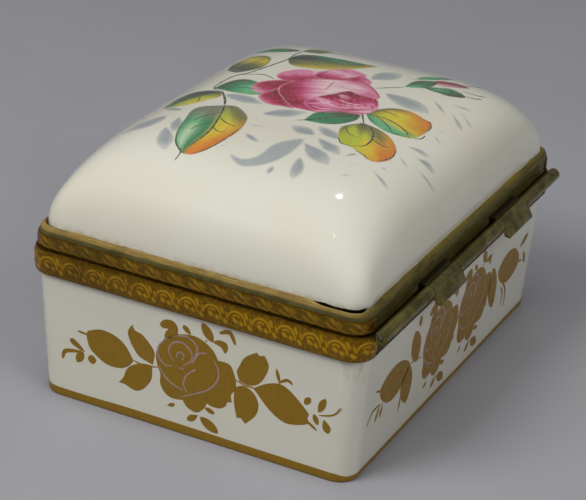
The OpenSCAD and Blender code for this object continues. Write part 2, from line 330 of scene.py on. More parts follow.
def glaze_lid():
    """White glaze over the painting that the mesh carries in its paint attribute."""
    s = Shader("glaze_lid", IOR=1.5, Coat_Weight=0.6, Coat_Roughness=0.03)
    paint = s.attribute("paint", "Color")
    cover = s.attribute("paint", "Alpha")
    body = s.mix(s.between(s.noise(0.03, 2), 0.35, 0.75, 0, 0.35), GLAZE, GLAZE_WARM)
    grime = s.math("MULTIPLY", s.between(s.height(), 51.6, 50.0), s.between(s.noise(0.5, 4), 0.35, 0.7))
    outside = s.attribute("outside")
    body = s.mix(s.math("MULTIPLY", s.math("MULTIPLY", grime, 0.35), outside), body, YELLOWED)
    specks = s.between(s.noise(1.1, 1), 0.80, 0.84, 0, 0.35)
    body = s.mix(specks, body, STAIN)
    wash = s.noise(0.9, 4, 0.6, twist=1.5)
    painted = s.mix(s.between(wash, 0.35, 0.7, 0.0, 0.07), paint, GLAZE)
    body = s.mix(cover, body, painted)
    # Painted shade: at the cracked corner the bared foot of the dome turns near black, as the open joint
    # would in shade.
    crack_shade = s.math("MULTIPLY", s.between(s.distance(*CRACK_PLACE), 7.4, 6.2), outside)
    low_edge = s.math("ADD", s.height(), s.between(s.noise(0.4, 2), 0.3, 0.7, -0.12, 0.12))
    s.colour(s.mix(s.math("MULTIPLY", crack_shade, s.between(low_edge, 49.85, 49.7)), body, CRACK_SHADE))
    s.rough(s.math("ADD", s.between(s.noise(0.2, 4), 0.3, 0.8, 0.10, 0.17),
                   s.math("MULTIPLY", cover, 0.07)))
    s.bump(s.noise(0.12, 2), 0.05, 0.5)
    s.bump(cover, 0.02, 0.5)
    return s.material


def glaze_base():
    """White glaze, with a little grime under the mount and at the foot."""
    s = Shader("glaze_base", IOR=1.5, Coat_Weight=0.6, Coat_Roughness=0.03)
    body = s.mix(s.between(s.noise(0.03, 2), 0.35, 0.75, 0, 0.3), GLAZE, GLAZE_WARM)
    streaks = s.noise(0.5, 4, 0.6, s.stretched(1, 1, 0.16))
    grime = s.math("MULTIPLY", s.between(s.height(), 28, 37.5), s.between(streaks, 0.56, 0.78))
    body = s.mix(s.math("MULTIPLY", grime, 0.25), body, YELLOWED)
    drip = s.math("MULTIPLY", s.between(s.axis("Y"), 38, 45), s.between(s.axis("X"), 55, 62))
    drip = s.math("MULTIPLY", drip, s.between(s.noise(0.45, 4, 0.6, s.stretched(1, 1, 0.3)), 0.46, 0.62))
    drip = s.math("MULTIPLY", drip, s.between(s.height(), 22, 36))
    body = s.mix(s.math("MULTIPLY", drip, 0.32), body, YELLOWED)
    specks = s.between(s.noise(1.3, 1), 0.80, 0.84, 0, 0.35)
    s.colour(s.mix(specks, body, STAIN))
    s.rough(s.between(s.noise(0.25, 4), 0.3, 0.8, 0.10, 0.18))
    s.bump(s.noise(0.1, 2), 0.06, 0.5)
    return s.material


def gold_paint(name, colour, worn, metal=0.3):
    """Flat painted gold, thinner and browner in places."""
    s = Shader(name, Metallic=metal, IOR=1.5)
    brushed = s.noise(0.8, 4, 0.6, s.stretched(1, 1, 0.45))
    body = s.mix(s.between(brushed, 0.25, 0.85), colour, worn)
    thin = s.between(s.noise(2.6, 3), 0.72, 0.82, 0, 0.5)
    s.colour(s.mix(thin, body, GLAZE_WARM))
    s.rough(s.between(s.noise(0.8, 5), 0.3, 0.7, 0.30, 0.48))
    s.bump(brushed, 0.02, 0.6)
    return s.material


def line_paint():
    """Fine brush lines, whose colour is in the mesh."""
    s = Shader("line_paint", IOR=1.5)
    pale = s.mix(s.between(s.noise(2.0, 3), 0.35, 0.8, 0.0, 0.4), s.attribute("paint", "Color"), GLAZE)
    s.colour(pale)
    s.rough(s.between(s.noise(1.0, 3), 0.3, 0.8, 0.14, 0.3))
    s.bump(s.noise(3.0, 2), 0.01, 0.5)
    return s.material


def patina(name, bright, brown, dark, shine=0.34, dull=0.62, metal=0.9, streak=(1, 1, 1), soil=0.5,
           behind_tarnish_and_shade=0.8, crevice_shade=False):
    """Old brass: bright, brown and dark metal mixed by noise, with fine scratches and pits."""
    s = Shader(name, Metallic=metal)
    cloud = s.noise(0.16, 5, 0.6, twist=0.6)
    brush = s.noise(1.4, 4, 0.65, s.stretched(*streak))
    body = s.mix(s.between(cloud, 0.3, 0.7), bright, brown)
    body = s.mix(s.between(brush, 0.42, 0.75, 0, soil), body, dark)
    verdigris = s.between(s.noise(0.9, 4), 0.62, 0.76, 0, 0.3)
    body = s.mix(verdigris, body, srgb(80, 88, 50))
    # Darker olive on the hinge side: tarnish, and painted shade of the side turned away from the lamps.
    body = s.mix(s.behind(behind_tarnish_and_shade), body, s.mix(s.between(cloud, 0.35, 0.65), srgb(62, 62, 30),
                                                    srgb(34, 32, 14)))
    # Painted shade: near black where the knuckles face in towards the mount.
    if crevice_shade:
        body = s.mix(s.between(s.axis("Y"), 50.4, 49.8, 0, 0.9), body, srgb(20, 18, 9))
    s.colour(body)
    s.rough(s.between(brush, 0.25, 0.75, shine, dull))
    s.bump(brush, 0.05, 0.7)
    s.bump(s.noise(3.5, 3), 0.03, 0.6)
    return s.material


def bead_brass():
    """Dull gilt on the bead: tan and streaked on top, greenish at its outer edge, and dark olive on
    the hinge side: tarnish, with painted shade of the side turned from the lamps."""
    s = Shader("brass_bead", Metallic=0.4)
    streak = s.noise(1.6, 4, 0.65, s.stretched(0.1, 0.1, 2.2))
    cloud = s.noise(0.2, 4, 0.6)
    body = s.mix(s.between(streak, 0.3, 0.7), srgb(186, 158, 92), srgb(142, 116, 60))
    body = s.mix(s.between(cloud, 0.45, 0.75, 0, 0.5), body, srgb(112, 98, 52))
    edge = s.between(s.height(), 49.0, 48.4)
    body = s.mix(edge, body, s.mix(s.between(cloud, 0.3, 0.7), srgb(112, 104, 58), srgb(84, 76, 36)))
    specks = s.between(s.noise(2.2, 3), 0.66, 0.74, 0, 0.6)
    body = s.mix(specks, body, srgb(52, 42, 20))
    # Dark olive on the hinge side: tarnish, with painted shade.
    s.colour(s.mix(s.behind(0.85), body, s.mix(s.between(streak, 0.3, 0.7), srgb(118, 108, 50),
                                               srgb(70, 64, 28))))
    s.rough(s.between(streak, 0.25, 0.75, 0.34, 0.58))
    s.bump(streak, 0.05, 0.7)
    s.bump(s.noise(3.0, 3), 0.03, 0.6)
    return s.material


def embossed(name, bright, brown, dark, sheen_share):
    """Embossed brass: worn bright and painted with a highlight on the high relief, brown to black in
    the low. Painted highlight: brighter towards the hinge side, brightest at the +X, +Y corner."""
    s = Shader(name, Metallic=0.6)
    relief = s.attribute("relief")
    cloud = s.noise(0.1, 4, 0.6)
    body = s.mix(s.between(cloud, 0.3, 0.7), bright, brown)
    # Painted highlight: lighter towards the hinge side, most at the +X, +Y corner.
    painted_sheen = s.between(s.axis("Y"), -50, 45, 0.0, sheen_share)
    body = s.mix(painted_sheen, body, bright)
    low = s.between(relief, 0.35, 0.05)
    soil = s.math("MULTIPLY", low, s.between(s.noise(1.2, 3), 0.2, 0.7, 0.5, 0.95))
    body = s.mix(soil, body, dark)
    # Pale gold on the high relief: wear, and a painted highlight.
    body = s.mix(s.between(relief, 0.6, 0.9, 0, 0.4), body, srgb(222, 184, 80))
    s.colour(body)
    s.rough(s.between(s.noise(1.5, 4), 0.25, 0.75, 0.26, 0.5))
    s.bump(s.noise(2.6, 4), 0.05, 0.6)
    return s.material


def glue():
    """Yellowed cement, crumbly and dirty."""
    s = Shader("old_cement", IOR=1.45)
    lumps = s.noise(1.1, 5, 0.7)
    body = s.mix(s.between(lumps, 0.3, 0.7), srgb(168, 138, 50), srgb(132, 110, 44))
    body = s.mix(s.between(s.noise(1.4, 4), 0.56, 0.72, 0, 0.6), body, srgb(86, 74, 34))
    body = s.mix(s.between(s.height(), 50.5, 49.9, 0, 0.8), body, srgb(92, 84, 38))
    to_hinge = s.between(s.axis("Y"), 42, 47, 0.75, 0.0)
    body = s.mix(to_hinge, body, srgb(74, 60, 28))
    # Painted shade: the cement turns near black close to the cracked corner, where the joint stands open.
    body = s.mix(s.between(s.distance(*CRACK_PLACE), 10.5, 8.5), body, srgb(16, 12, 6))
    s.colour(body)
    s.rough(s.between(lumps, 0.3, 0.7, 0.42, 0.75))
    s.bump(lumps, 0.12, 0.7)
    return s.material


def steel():
    """Dull brown steel of the hinge pin."""
    s = Shader("pin_wire", Metallic=0.9)
    brush = s.noise(2.0, 4, 0.6)
    s.colour(s.mix(s.between(brush, 0.3, 0.7), srgb(150, 140, 118), srgb(84, 74, 54)))
    s.rough(s.between(brush, 0.3, 0.7, 0.35, 0.6))
    s.bump(brush, 0.03, 0.6)
    return s.material


def floor_paint():
    """The plain grey sheet."""
    s = Shader("floor_paint", IOR=1.4)
    s.colour(s.mix(s.noise(0.01, 3), srgb(164, 164, 169), srgb(154, 154, 160)))
    s.rough(s.between(s.noise(0.05, 3), 0.3, 0.7, 0.45, 0.6))
    return s.material


# ---------------------------------------------------------------- the dome of the lid
def rise(t):
    """Height of the dome's cross section, 1 in the middle and 0 at the edge."""
    return np.clip(1 - np.abs(t) ** DOME_SQUARE, 0, 1) ** (1 / DOME_STEEP)


def dome_points(u, v, w, d, h, r):
    """Points of the dome over a square from -1 to 1, its corners rounded to radius r."""
    ax, ay = np.abs(u) * w / 2, np.abs(v) * d / 2
    dx, dy = (ax - (w / 2 - r)) / r, (ay - (d / 2 - r)) / r
    corner = (dx > 0) & (dy > 0)
    x = np.where(corner, w / 2 - r + r * dx * np.sqrt(np.maximum(1 - dy * dy / 2, 0)), ax) * np.sign(u)
    y = np.where(corner, d / 2 - r + r * dy * np.sqrt(np.maximum(1 - dx * dx / 2, 0)), ay) * np.sign(v)
    return np.stack([x, y, DOME_Z + h * rise(u) * rise(v)], -1)


def even_steps(half, count):
    """count cells from -1 to 1, of even length along the dome's profile."""
    t = 1 - (1 - np.linspace(0, 1, 4000)) ** DOME_STEEP
    length = np.concatenate([[0], np.cumsum(np.hypot(np.diff(t) * half, np.diff(rise(t)) * DOME_H))])
    side = np.interp(np.linspace(0, length[-1], count // 2 + 1), length, t)
    return np.concatenate([-side[:0:-1], side])


def on_dome(points, lift=0.0):
    """Plan points put on the dome's outer face, lifted off it."""
    p = np.asarray(points, float)

    def z(x, y):
        return DOME_Z + DOME_H * rise(x / (LID_W / 2)) * rise(y / (LID_D / 2))

    step = 0.05
    x, y = p[:, 0], p[:, 1]
    slope = np.stack([-(z(x + step, y) - z(x - step, y)) / (2 * step),
                      -(z(x, y + step) - z(x, y - step)) / (2 * step), np.ones(len(p))], -1)
    normal = slope / np.linalg.norm(slope, axis=1)[:, None]
    return np.stack([x, y, z(x, y)], -1) + normal * lift


# ---------------------------------------------------------------- painting on the lid
OLIVE = srgb(116, 112, 52)
GREY_OLIVE = srgb(118, 122, 96)
MOSS = srgb(66, 76, 42)
DARK = srgb(38, 46, 30)
GREEN = srgb(30, 124, 74)
MINT = srgb(96, 176, 120)
PALE_MINT = srgb(176, 208, 166)
LIME = srgb(176, 186, 24)
YELLOW = srgb(212, 190, 28)
AMBER = srgb(208, 148, 4)
ORANGE = srgb(206, 116, 0)
SHADOW = srgb(138, 148, 154)
CRIMSON = srgb(150, 20, 52)
WINE = srgb(104, 12, 34)
ROSE = srgb(186, 52, 100)
PINK = srgb(214, 128, 160)
BLUSH = srgb(226, 176, 188)
PETAL_WHITE = srgb(232, 208, 206)


def tint(t, colours):
    """Colours along t from 0 to 1, evenly spaced."""
    stops = np.linspace(0, 1, len(colours))
    return np.stack([np.interp(t, stops, [c[k] for c in colours]) for k in range(3)], -1)


def leaf_side(p, width, belly):
    """Half width of a leaf at p from base 0 to tip 1, widest at belly."""
    bend = math.log(0.5) / math.log(belly)
    return width * np.sin(math.pi * np.clip(p, 0, 1) ** bend) ** 0.66


class Painting:
    """Colours laid over each other on points of the lid, seen in plan."""

    def __init__(self, x, y):
        self.x, self.y = x, y
        self.rgb = np.tile(GLAZE, (len(x), 1))
        self.cover = np.zeros(len(x))

    def near(self, centre, reach):
        return np.flatnonzero((np.abs(self.x - centre[0]) < reach) & (np.abs(self.y - centre[1]) < reach))

    def lay(self, at, mask, colour):
        keep = 1 - mask
        total = mask + self.cover[at] * keep
        share = np.where(total > 1e-6, mask / np.maximum(total, 1e-6), 0)[:, None]
        self.rgb[at] = self.rgb[at] * (1 - share) + colour * share
        self.cover[at] = total

    def leaf(self, base, tip, left, right, left_tint, right_tint, alpha=0.95, bend=0.0, soft=0.35,
             edge=0.75, streaks=0.12, seed=1, faint=False):
        """left and right are (half width, belly), each side of the line from base to tip."""
        reach = math.dist(base, tip) / 2 + left[0] + right[0] + abs(bend) + 1
        at = self.near(np.add(base, tip) / 2, reach)
        p, q = beside(base, tip, self.x[at], self.y[at])
        q = q - bend * 4 * np.clip(p, 0, 1) * (1 - np.clip(p, 0, 1))
        wobble = 0.35 * (value_noise(p * 5 + seed, q * 0.1, seed) - 0.5)
        width = np.where(q > 0, leaf_side(p, *left), leaf_side(p, *right)) + wobble
        inside = np.where((p > 0) & (p < 1), width - np.abs(q), -1.0)
        mask = ease(inside / soft) * alpha
        across = np.clip(np.abs(q) / np.maximum(width, 0.1), 0, 1)
        left_rgb, right_rgb = tint(p, left_tint), tint(p, right_tint)
        blend = ease((q + 0.35) / 0.7)[:, None]
        rgb = left_rgb * blend + right_rgb * (1 - blend)
        grain = value_noise(p * 3 + 7, q * 2.3 + seed, seed + 5) - 0.5
        shade = 1 + streaks * 2 * grain - (1 - edge) * ease((across - 0.72) / 0.28)
        if faint:
            mask = mask * (1 - 0.55 * ease((p - 0.55) / 0.45)) * (1 - 0.3 * ease((across - 0.1) / 0.9))
        self.lay(at, mask, np.clip(rgb * shade[:, None], 0, 1))

    def inside(self, ring):
        """Points near a closed outline, and how deep each lies inside it, in millimetres."""
        centre, reach = ring.mean(0), np.abs(ring - ring.mean(0)).max() + 2
        at = self.near(centre, reach)
        x, y = self.x[at], self.y[at]
        within = np.zeros(len(at), bool)
        gap = np.full(len(at), 1e9)
        for a, b in zip(ring, np.roll(ring, -1, 0)):
            (ax, ay), (bx, by) = a, b
            crosses = (ay > y) != (by > y)
            within ^= crosses & (x < (bx - ax) * (y - ay) / (by - ay + 1e-12) + ax)
            gap = np.minimum(gap, segment_gap(x, y, a, b))
        return at, x, y, np.where(within, gap, -gap)

    def blade(self, base, tip, left, right, rib, tints, seed=1):
        """A leaf between two drawn edges. Rows of tints run from the left edge to the right one, and
        each row from base to tip."""
        alpha, soft = 0.97, 0.35
        sides = [curve([base, *side, tip], 6) for side in (left, right)]
        ring = np.concatenate([sides[0], sides[1][-2:0:-1]])
        at, x, y, depth = self.inside(ring)
        t, q = beside(base, tip, x, y)
        edges = []
        for line in (sides[0], curve([base, *rib, tip], 6), sides[1]):
            lt, lq = beside(base, tip, line[:, 0], line[:, 1])
            order = np.argsort(lt)
            edges.append(np.interp(t, lt[order], lq[order]))
        upper, mid, lower = edges
        across = (q - mid) / np.maximum(np.where(q > mid, upper - mid, mid - lower), 0.3)
        brush = value_noise(t * 2.2 + 7, across * 5 + seed, seed + 5) - 0.5
        row = np.clip((1 - np.clip(across, -1, 1)) / 2 + 0.09 * brush, 0, 1) * (len(tints) - 1)
        low = np.minimum(row.astype(int), len(tints) - 2)
        strips = np.stack([tint(np.clip(t + 0.12 * brush, 0, 1), r) for r in tints])
        pick = np.arange(len(at))
        share = ease(row - low)[:, None]
        rgb = strips[low, pick] * (1 - share) + strips[low + 1, pick] * share
        fine = value_noise(x * 2.6, y * 2.6, seed + 9) - 0.5
        rim = 0.22 * ease(1 - depth / 0.7)
        rgb = rgb * (1 + 0.16 * brush + 0.1 * fine - rim)[:, None]
        self.lay(at, ease((depth + soft / 2) / soft) * alpha, np.clip(rgb, 0, 1))

    def petal(self, outline, start, end, tints, alpha=1.0, soft=0.5, edge=None, streaks=0.16, seed=3,
              rim=1.1):
        """A closed shape whose colours run from start to end, streaked along that line."""
        at, x, y, depth = self.inside(curve(outline, 6, closed=True))
        mask = ease((depth + soft / 2) / soft) * alpha
        t, q = beside(start, end, x, y)
        brush = value_noise(t * 1.6 + seed, q * 1.5 + 9, seed) - 0.5
        fine = value_noise(t * 3 + seed, q * 3.6 + 3, seed + 1) - 0.5
        rgb = tint(np.clip(t + streaks * brush, 0, 1), tints)
        rgb = rgb * (1 + streaks * (brush + fine))[:, None]
        if edge is not None:
            share = (0.7 * ease(1 - depth / rim))[:, None]
            rgb = rgb * (1 - share) + edge * share
        self.lay(at, mask, np.clip(rgb, 0, 1))


def paint_shadow_leaves(art):
    """Soft grey leaves behind the coloured ones: base, tip, half width, belly, bend."""
    for k, (base, tip, width, belly, bend) in enumerate([
            ((27.5, -29.5), (39.5, -36.5), 3.0, 0.5, 0.8), ((34.5, -26), (46, -19.6), 2.6, 0.6, 0),
            ((27, -26), (38, -22), 1.9, 0.55, 0), ((23, -27.5), (21.5, -34.5), 1.7, 0.5, 0),
            ((7.2, -23), (8.5, -10.5), 3.0, 0.45, 0), ((23.3, -7.5), (22.6, -1.4), 0.7, 0.4, 0),
            ((28, -6), (32, 0.6), 1.4, 0.6, -0.4), ((40.5, -8), (36, -6), 0.5, 0.5, 0),
            ((15, -8), (6.6, 2), 3.0, 0.5, 0), ((-26, 5), (-37, 10), 3.8, 0.55, 0),
            ((-18.5, 13), (-13.5, 28.6), 4.0, 0.55, 0), ((20, 10.5), (17.5, 2.5), 3.0, 0.55, 0),
            ((19, 17), (13.8, 8.5), 2.5, 0.5, 0), ((25.5, 9.8), (34.5, 21.5), 3.0, 0.6, 0),
            ((20.8, 11.5), (27.5, 21.4), 2.5, 0.6, 0),
            ((33.5, 13), (45, 16.6), 2.2, 0.6, 0.5), ((41, 9.4), (45.8, 9.9), 1.2, 0.5, 0),
            ((27.4, 22.6), (24.2, 25.6), 0.5, 0.5, 0.3), ((32, 25), (28, 28), 0.5, 0.5, 0.3),
            ((38.5, 26), (34, 29), 0.5, 0.5, 0.3), ((27.5, 29.5), (32.4, 38), 1.0, 0.65, 0),
            ((24.8, 31.9), (25.8, 34.6), 0.6, 0.5, 0), ((9.8, 30), (6.8, 38), 1.5, 0.75, 0),
            ((13.6, 34.3), (10, 41.2), 1.8, 0.8, 0.8), ((15.8, 37.8), (15.1, 44), 0.9, 0.6, 0),
            ((15, 31.9), (18.8, 37.6), 0.7, 0.6, 0), ((-6.8, 33), (-8, 36.6), 0.7, 0.6, 0),
            ((-4.2, 34), (-1.3, 38), 0.7, 0.6, 0), ((-4.8, 35.6), (-3.3, 39), 0.5, 0.6, 0),
            ((-22.4, 30), (-14.8, 38.2), 1.2, 0.75, 0), ((-24, 33), (-18.5, 40.6), 0.7, 0.6, 0),
            ((-24, 25), (-17, 32), 0.9, 0.6, 0), ((-23.6, 28), (-27.4, 36), 1.1, 0.75, 0),
            ((-39.5, 10), (-41.3, 13.6), 0.8, 0.5, 0), ((-34.2, 12.6), (-35.4, 16.2), 0.8, 0.5, 0)]):
        art.leaf(base, tip, (width, belly), (width, belly), [SHADOW, SHADOW * 0.92], [SHADOW * 1.06, SHADOW],
                 alpha=0.86, bend=bend, soft=1.0, edge=0.9, streaks=0.14, seed=20 + k, faint=True)
    art.petal([(24, 9.2), (27.6, 5.8), (32.2, 4.1), (36.4, 4), (39.8, 3.2), (41.8, 0.6), (41.2, -2.8),
               (43.8, -0.2), (44.5, 3), (41.9, 6.8), (37.6, 9.3), (31, 10.2)], (24, 9), (43, 0),
              [SHADOW, SHADOW * 0.94, SHADOW * 1.04], alpha=0.74, soft=1.2, streaks=0.1, seed=19)


def paint_leaves(art):
    """The green and amber leaves."""
    art.leaf((-38, -22.5), (-34, -37), (3.4, 0.5), (2.6, 0.5), [MOSS, GREEN, MINT], [DARK, GREEN, GREEN],
             seed=2)
    art.leaf((-37.6, -22), (-45.2, -15.8), (2.6, 0.5), (3.2, 0.5), [MOSS, OLIVE, OLIVE], [MOSS, OLIVE, LIME],
             seed=3)
    art.blade((-27.9, -21.9), (-38.6, 1.8),
              [(-33.5, -20.8), (-36.4, -16.2), (-37.6, -10.6), (-38.3, -4)],
              [(-23.4, -18.6), (-24.2, -12), (-28.3, -5.8), (-33.3, -1.1)], [(-32.6, -12), (-36.4, -3)],
              [[DARK, MOSS, GREEN, MOSS, OLIVE], [DARK, DARK, GREEN, GREEN, OLIVE],
               [MOSS, OLIVE, OLIVE, OLIVE, AMBER], [OLIVE, YELLOW, YELLOW, LIME, AMBER]], seed=4)
    art.petal([(-11.2, -30), (-14.2, -34), (-20.2, -35.8), (-25.2, -35), (-28.6, -32), (-27.8, -28),
               (-24.4, -25.8), (-18.2, -24.8), (-13.6, -26.9)], (-12, -33), (-28, -28.5),
              [GREY_OLIVE, MOSS, OLIVE, YELLOW, OLIVE], edge=MOSS, seed=5)
    art.blade((3.7, -28.7), (2.2, -14.8), [(-0.4, -28.2), (-4.4, -26.8), (-6.4, -24.2), (-6, -20.6),
                                           (-3, -17)],
              [(4.6, -24), (4.6, -20.2), (4, -17)], [(0.2, -22.6)],
              [[MOSS, MOSS, GREEN, MINT], [DARK, GREEN, MINT, GREEN], [MOSS, GREEN, MINT, MINT],
               [GREEN, GREEN, MINT, GREEN]], seed=6)
    art.blade((5.7, -25), (21.2, -34.6), [(9.2, -23.6), (12.8, -25.2), (17, -27.3), (20, -30.4)],
              [(5.6, -29.3), (7.5, -32.9), (11.9, -35), (17.1, -35)], [(12, -29.6)],
              [[OLIVE, YELLOW, YELLOW, LIME], [MOSS, LIME, LIME, GREEN], [DARK, DARK, MOSS, GREEN],
               [GREY_OLIVE, MOSS, GREEN, MINT]], seed=7)
    art.blade((14.8, -19.1), (45.6, -14.4),
              [(14, -15.8), (18, -10.8), (22.5, -8.6), (29.4, -7.4), (35.6, -8.2), (41.3, -9.4),
               (44.9, -11.8)],
              [(20, -25), (28.7, -23.6), (36.9, -21.4), (41.7, -18.8), (44.8, -16)],
              [(22.8, -16.4), (33.1, -14), (42, -14.6)],
              [[GREY_OLIVE, OLIVE, AMBER, ORANGE, ORANGE, ORANGE],
               [OLIVE, OLIVE, YELLOW, AMBER, ORANGE, ORANGE],
               [GREY_OLIVE, LIME, YELLOW, YELLOW, AMBER, ORANGE],
               [GREY_OLIVE, GREY_OLIVE, GREEN, GREEN, GREEN, GREEN],
               [GREY_OLIVE, GREY_OLIVE, MINT, PALE_MINT, PALE_MINT, GREEN],
               [GREY_OLIVE, GREY_OLIVE, GREEN, GREEN, MINT, GREEN]], seed=8)
    art.blade((0.4, 14.6), (12.4, 3.4), [(4.7, 14.9), (9.5, 12.2), (11.8, 8.2)],
              [(0, 10), (2.7, 5.3), (6.2, 3.4)], [(6.2, 8.6)],
              [[DARK, GREEN, GREEN, MINT], [MOSS, GREEN, GREEN, GREEN], [MOSS, MOSS, GREEN, GREEN],
               [DARK, MOSS, GREEN, GREEN]], seed=11)
    art.blade((-1.9, 15), (-0.4, 32.4), [(-5.6, 16), (-9.7, 19.5), (-11, 24), (-9.5, 29), (-9, 31.4),
                                         (-5, 32.4)],
              [(2.6, 18.5), (5.8, 24.3), (5.5, 28.8), (3.7, 31.5)], [(-1.4, 22), (1.2, 28)],
              [[MOSS, OLIVE, AMBER, ORANGE, ORANGE], [MOSS, YELLOW, YELLOW, AMBER, ORANGE],
               [MOSS, LIME, YELLOW, YELLOW, AMBER], [GREEN, MINT, MINT, MINT, LIME],
               [GREEN, GREEN, MINT, GREEN, LIME]], seed=12)
    art.blade((4.8, 17.2), (24.9, 29), [(6, 22.4), (8.4, 26.8), (11.6, 29.9), (15.5, 31.8), (19.9, 32.2),
                                        (23.5, 30.8)],
              [(9.6, 14), (13.5, 14.4), (17.6, 16.2), (20.6, 18.6), (21.4, 22), (23.6, 25.8)],
              [(11.2, 21), (17.7, 23.9)],
              [[DARK, OLIVE, AMBER, ORANGE, ORANGE, ORANGE], [MOSS, OLIVE, OLIVE, AMBER, ORANGE, AMBER],
               [MOSS, OLIVE, LIME, YELLOW, YELLOW, AMBER], [MOSS, LIME, LIME, LIME, YELLOW, AMBER],
               [OLIVE, OLIVE, LIME, LIME, YELLOW, AMBER]], seed=14)


def paint_bud(art):
    """The bud on its stem, beyond the rose, and its green leaves."""
    art.leaf((-35, 15.2), (-46.5, 22.5), (2.2, 0.5), (1.6, 0.5), [GREEN, MINT, GREEN], [MINT, GREEN, MOSS],
             seed=31)
    art.leaf((-34, 18.6), (-41.8, 29), (3.3, 0.5), (2.2, 0.5), [ROSE, CRIMSON, WINE], [BLUSH, PINK, CRIMSON],
             seed=32)
    art.leaf((-26.6, 15.4), (-37.6, 20.6), (2.6, 0.55), (3.2, 0.5), [GREEN, MOSS, GREEN], [MINT, GREEN, DARK],
             seed=33)
    art.leaf((-29.4, 19.6), (-33.4, 31.2), (3.4, 0.6), (2.9, 0.6), [DARK, MINT, GREEN, MOSS],
             [DARK, GREEN, MOSS, DARK], seed=34)


def paint_rose(art):
    """The full rose at the middle of the lid, back petals first."""
    art.petal([(-11, -14.6), (-13, -18), (-17, -18), (-21, -15.4), (-22.6, -12.4), (-21.6, -9), (-17, -6.6),
               (-13, -9)], (-13.4, -11.5), (-19.5, -16), [CRIMSON, ROSE, PINK, PINK], edge=PINK, seed=41)
    art.petal([(-20, -9.6), (-22.5, -11), (-23.4, -9.4), (-21, -7.6), (-18.2, -7.4)], (-18.5, -8), (-23, -10),
              [PINK, BLUSH, BLUSH], seed=40)
    art.petal([(-18.6, -9), (-22.8, -9.4), (-27.5, -7), (-30.4, -3), (-28.8, 2.4), (-25.6, 3), (-21.5, 0.6),
               (-18, -4)], (-19, -5), (-28, -3), [CRIMSON, ROSE, PINK, BLUSH, PINK], edge=PINK, seed=42)
    art.petal([(-22.6, -0.6), (-26.8, 2.4), (-24, 6.4), (-21.6, 6), (-21, 2)], (-22, 0.5), (-25, 5),
              [CRIMSON, ROSE, PINK], edge=ROSE, seed=54)
    art.petal([(-0.2, -18.9), (-4.7, -20.2), (-9.1, -17.6), (-12.4, -12), (-6, -11), (-0.4, -13.6),
               (1.4, -16.2)],
              (0.8, -16.8), (-7.6, -14), [BLUSH, ROSE, CRIMSON, CRIMSON], edge=PINK, rim=1.5, seed=43)
    art.petal([(4.2, -14.6), (0.8, -15), (-2.4, -14), (-5.4, -12.4), (-0.2, -8.4), (4, -5.4), (6.4, -2.6),
               (7, -6.4),
               (7.6, -8.8), (7, -11.6)], (6.4, -13), (-0.5, -9.5), [PINK, ROSE, CRIMSON, CRIMSON, WINE],
              edge=PINK, rim=1.5, seed=44)
    art.petal([(-3.4, -12.4), (-8.4, -13), (-13.7, -11), (-17.4, -7.8), (-19.8, -3.1), (-22, 1.4),
               (-22.6, 5.3),
               (-20, 9), (-14.4, 13.4), (-11, 11), (-10.5, 7), (-11, 4), (-8, 1), (-4.5, -1), (-1, -2.6),
               (0.8, -5.4), (1.2, -8.4), (-1, -11)], (-5.6, -12.4), (-13.6, 4.6),
              [CRIMSON, CRIMSON, ROSE, PINK, BLUSH, PETAL_WHITE, BLUSH, PINK], edge=ROSE, seed=46)
    art.petal([(-12.6, -1.6), (-17, -2), (-19.6, 3), (-17.5, 8), (-14.4, 7), (-12.2, 2.5)], (-17, -1),
              (-14, 7), [BLUSH, PETAL_WHITE, BLUSH], soft=2.4, alpha=0.75, seed=45)
    art.petal([(-1.4, -11), (1, -8.4), (0.6, -5.4), (-1.6, -2.2), (-0.8, 0.4), (2.5, 3.2), (5, 3.8),
               (5.6, -0.6),
               (5.4, -3.9), (2.7, -7.6)], (-1, -8), (3.2, 2), [WINE, CRIMSON, CRIMSON, ROSE, ROSE], seed=47)
    art.petal([(0.6, -2.6), (-5.9, -1), (-5.8, 2.7), (-3.6, 6.1), (-5, 11.1), (-7.8, 15.9), (-3.5, 16),
               (-0.2, 14.6), (1.2, 9.6), (3.8, 5.8), (5, 3)], (3, 1), (-5, 14),
              [ROSE, PINK, PINK, ROSE, PINK, BLUSH], edge=PINK, streaks=0.42, seed=48)
    art.petal([(-5.2, -0.9), (-9.4, 1.4), (-14, 4.2), (-12.8, 7.6), (-13, 11.3), (-12.2, 13.6), (-8, 15.8),
               (-4.6, 14.8), (-3.6, 11.1), (-3, 7.1), (-5, 2.6)], (-13, 5), (-4, 10),
              [WINE, CRIMSON, CRIMSON, ROSE, ROSE, PINK], streaks=0.4, seed=50)
    art.petal([(-10.6, 3.6), (-9.2, 3.4), (-7.6, 5.6), (-8.2, 7.4), (-9.8, 6.6)], (-10.4, 4), (-7.6, 7),
              [BLUSH, PINK, ROSE], soft=1.0, alpha=0.8, streaks=0.4, seed=51)
    art.petal([(-4.6, -0.6), (-2, 0.2), (-1.2, 2.4), (-3, 3.6), (-4.6, 1.6)], (-4.6, -0.4), (-2, 3),
              [BLUSH, PINK, BLUSH], soft=1.2, alpha=0.85, streaks=0.4, seed=52)
    art.petal([(-12.4, 9.4), (-10, 8.6), (-7.6, 11), (-8, 14), (-11, 13)], (-12, 9), (-8, 13.4),
              [ROSE, CRIMSON, ROSE, PINK], soft=0.8, streaks=0.3, seed=53)


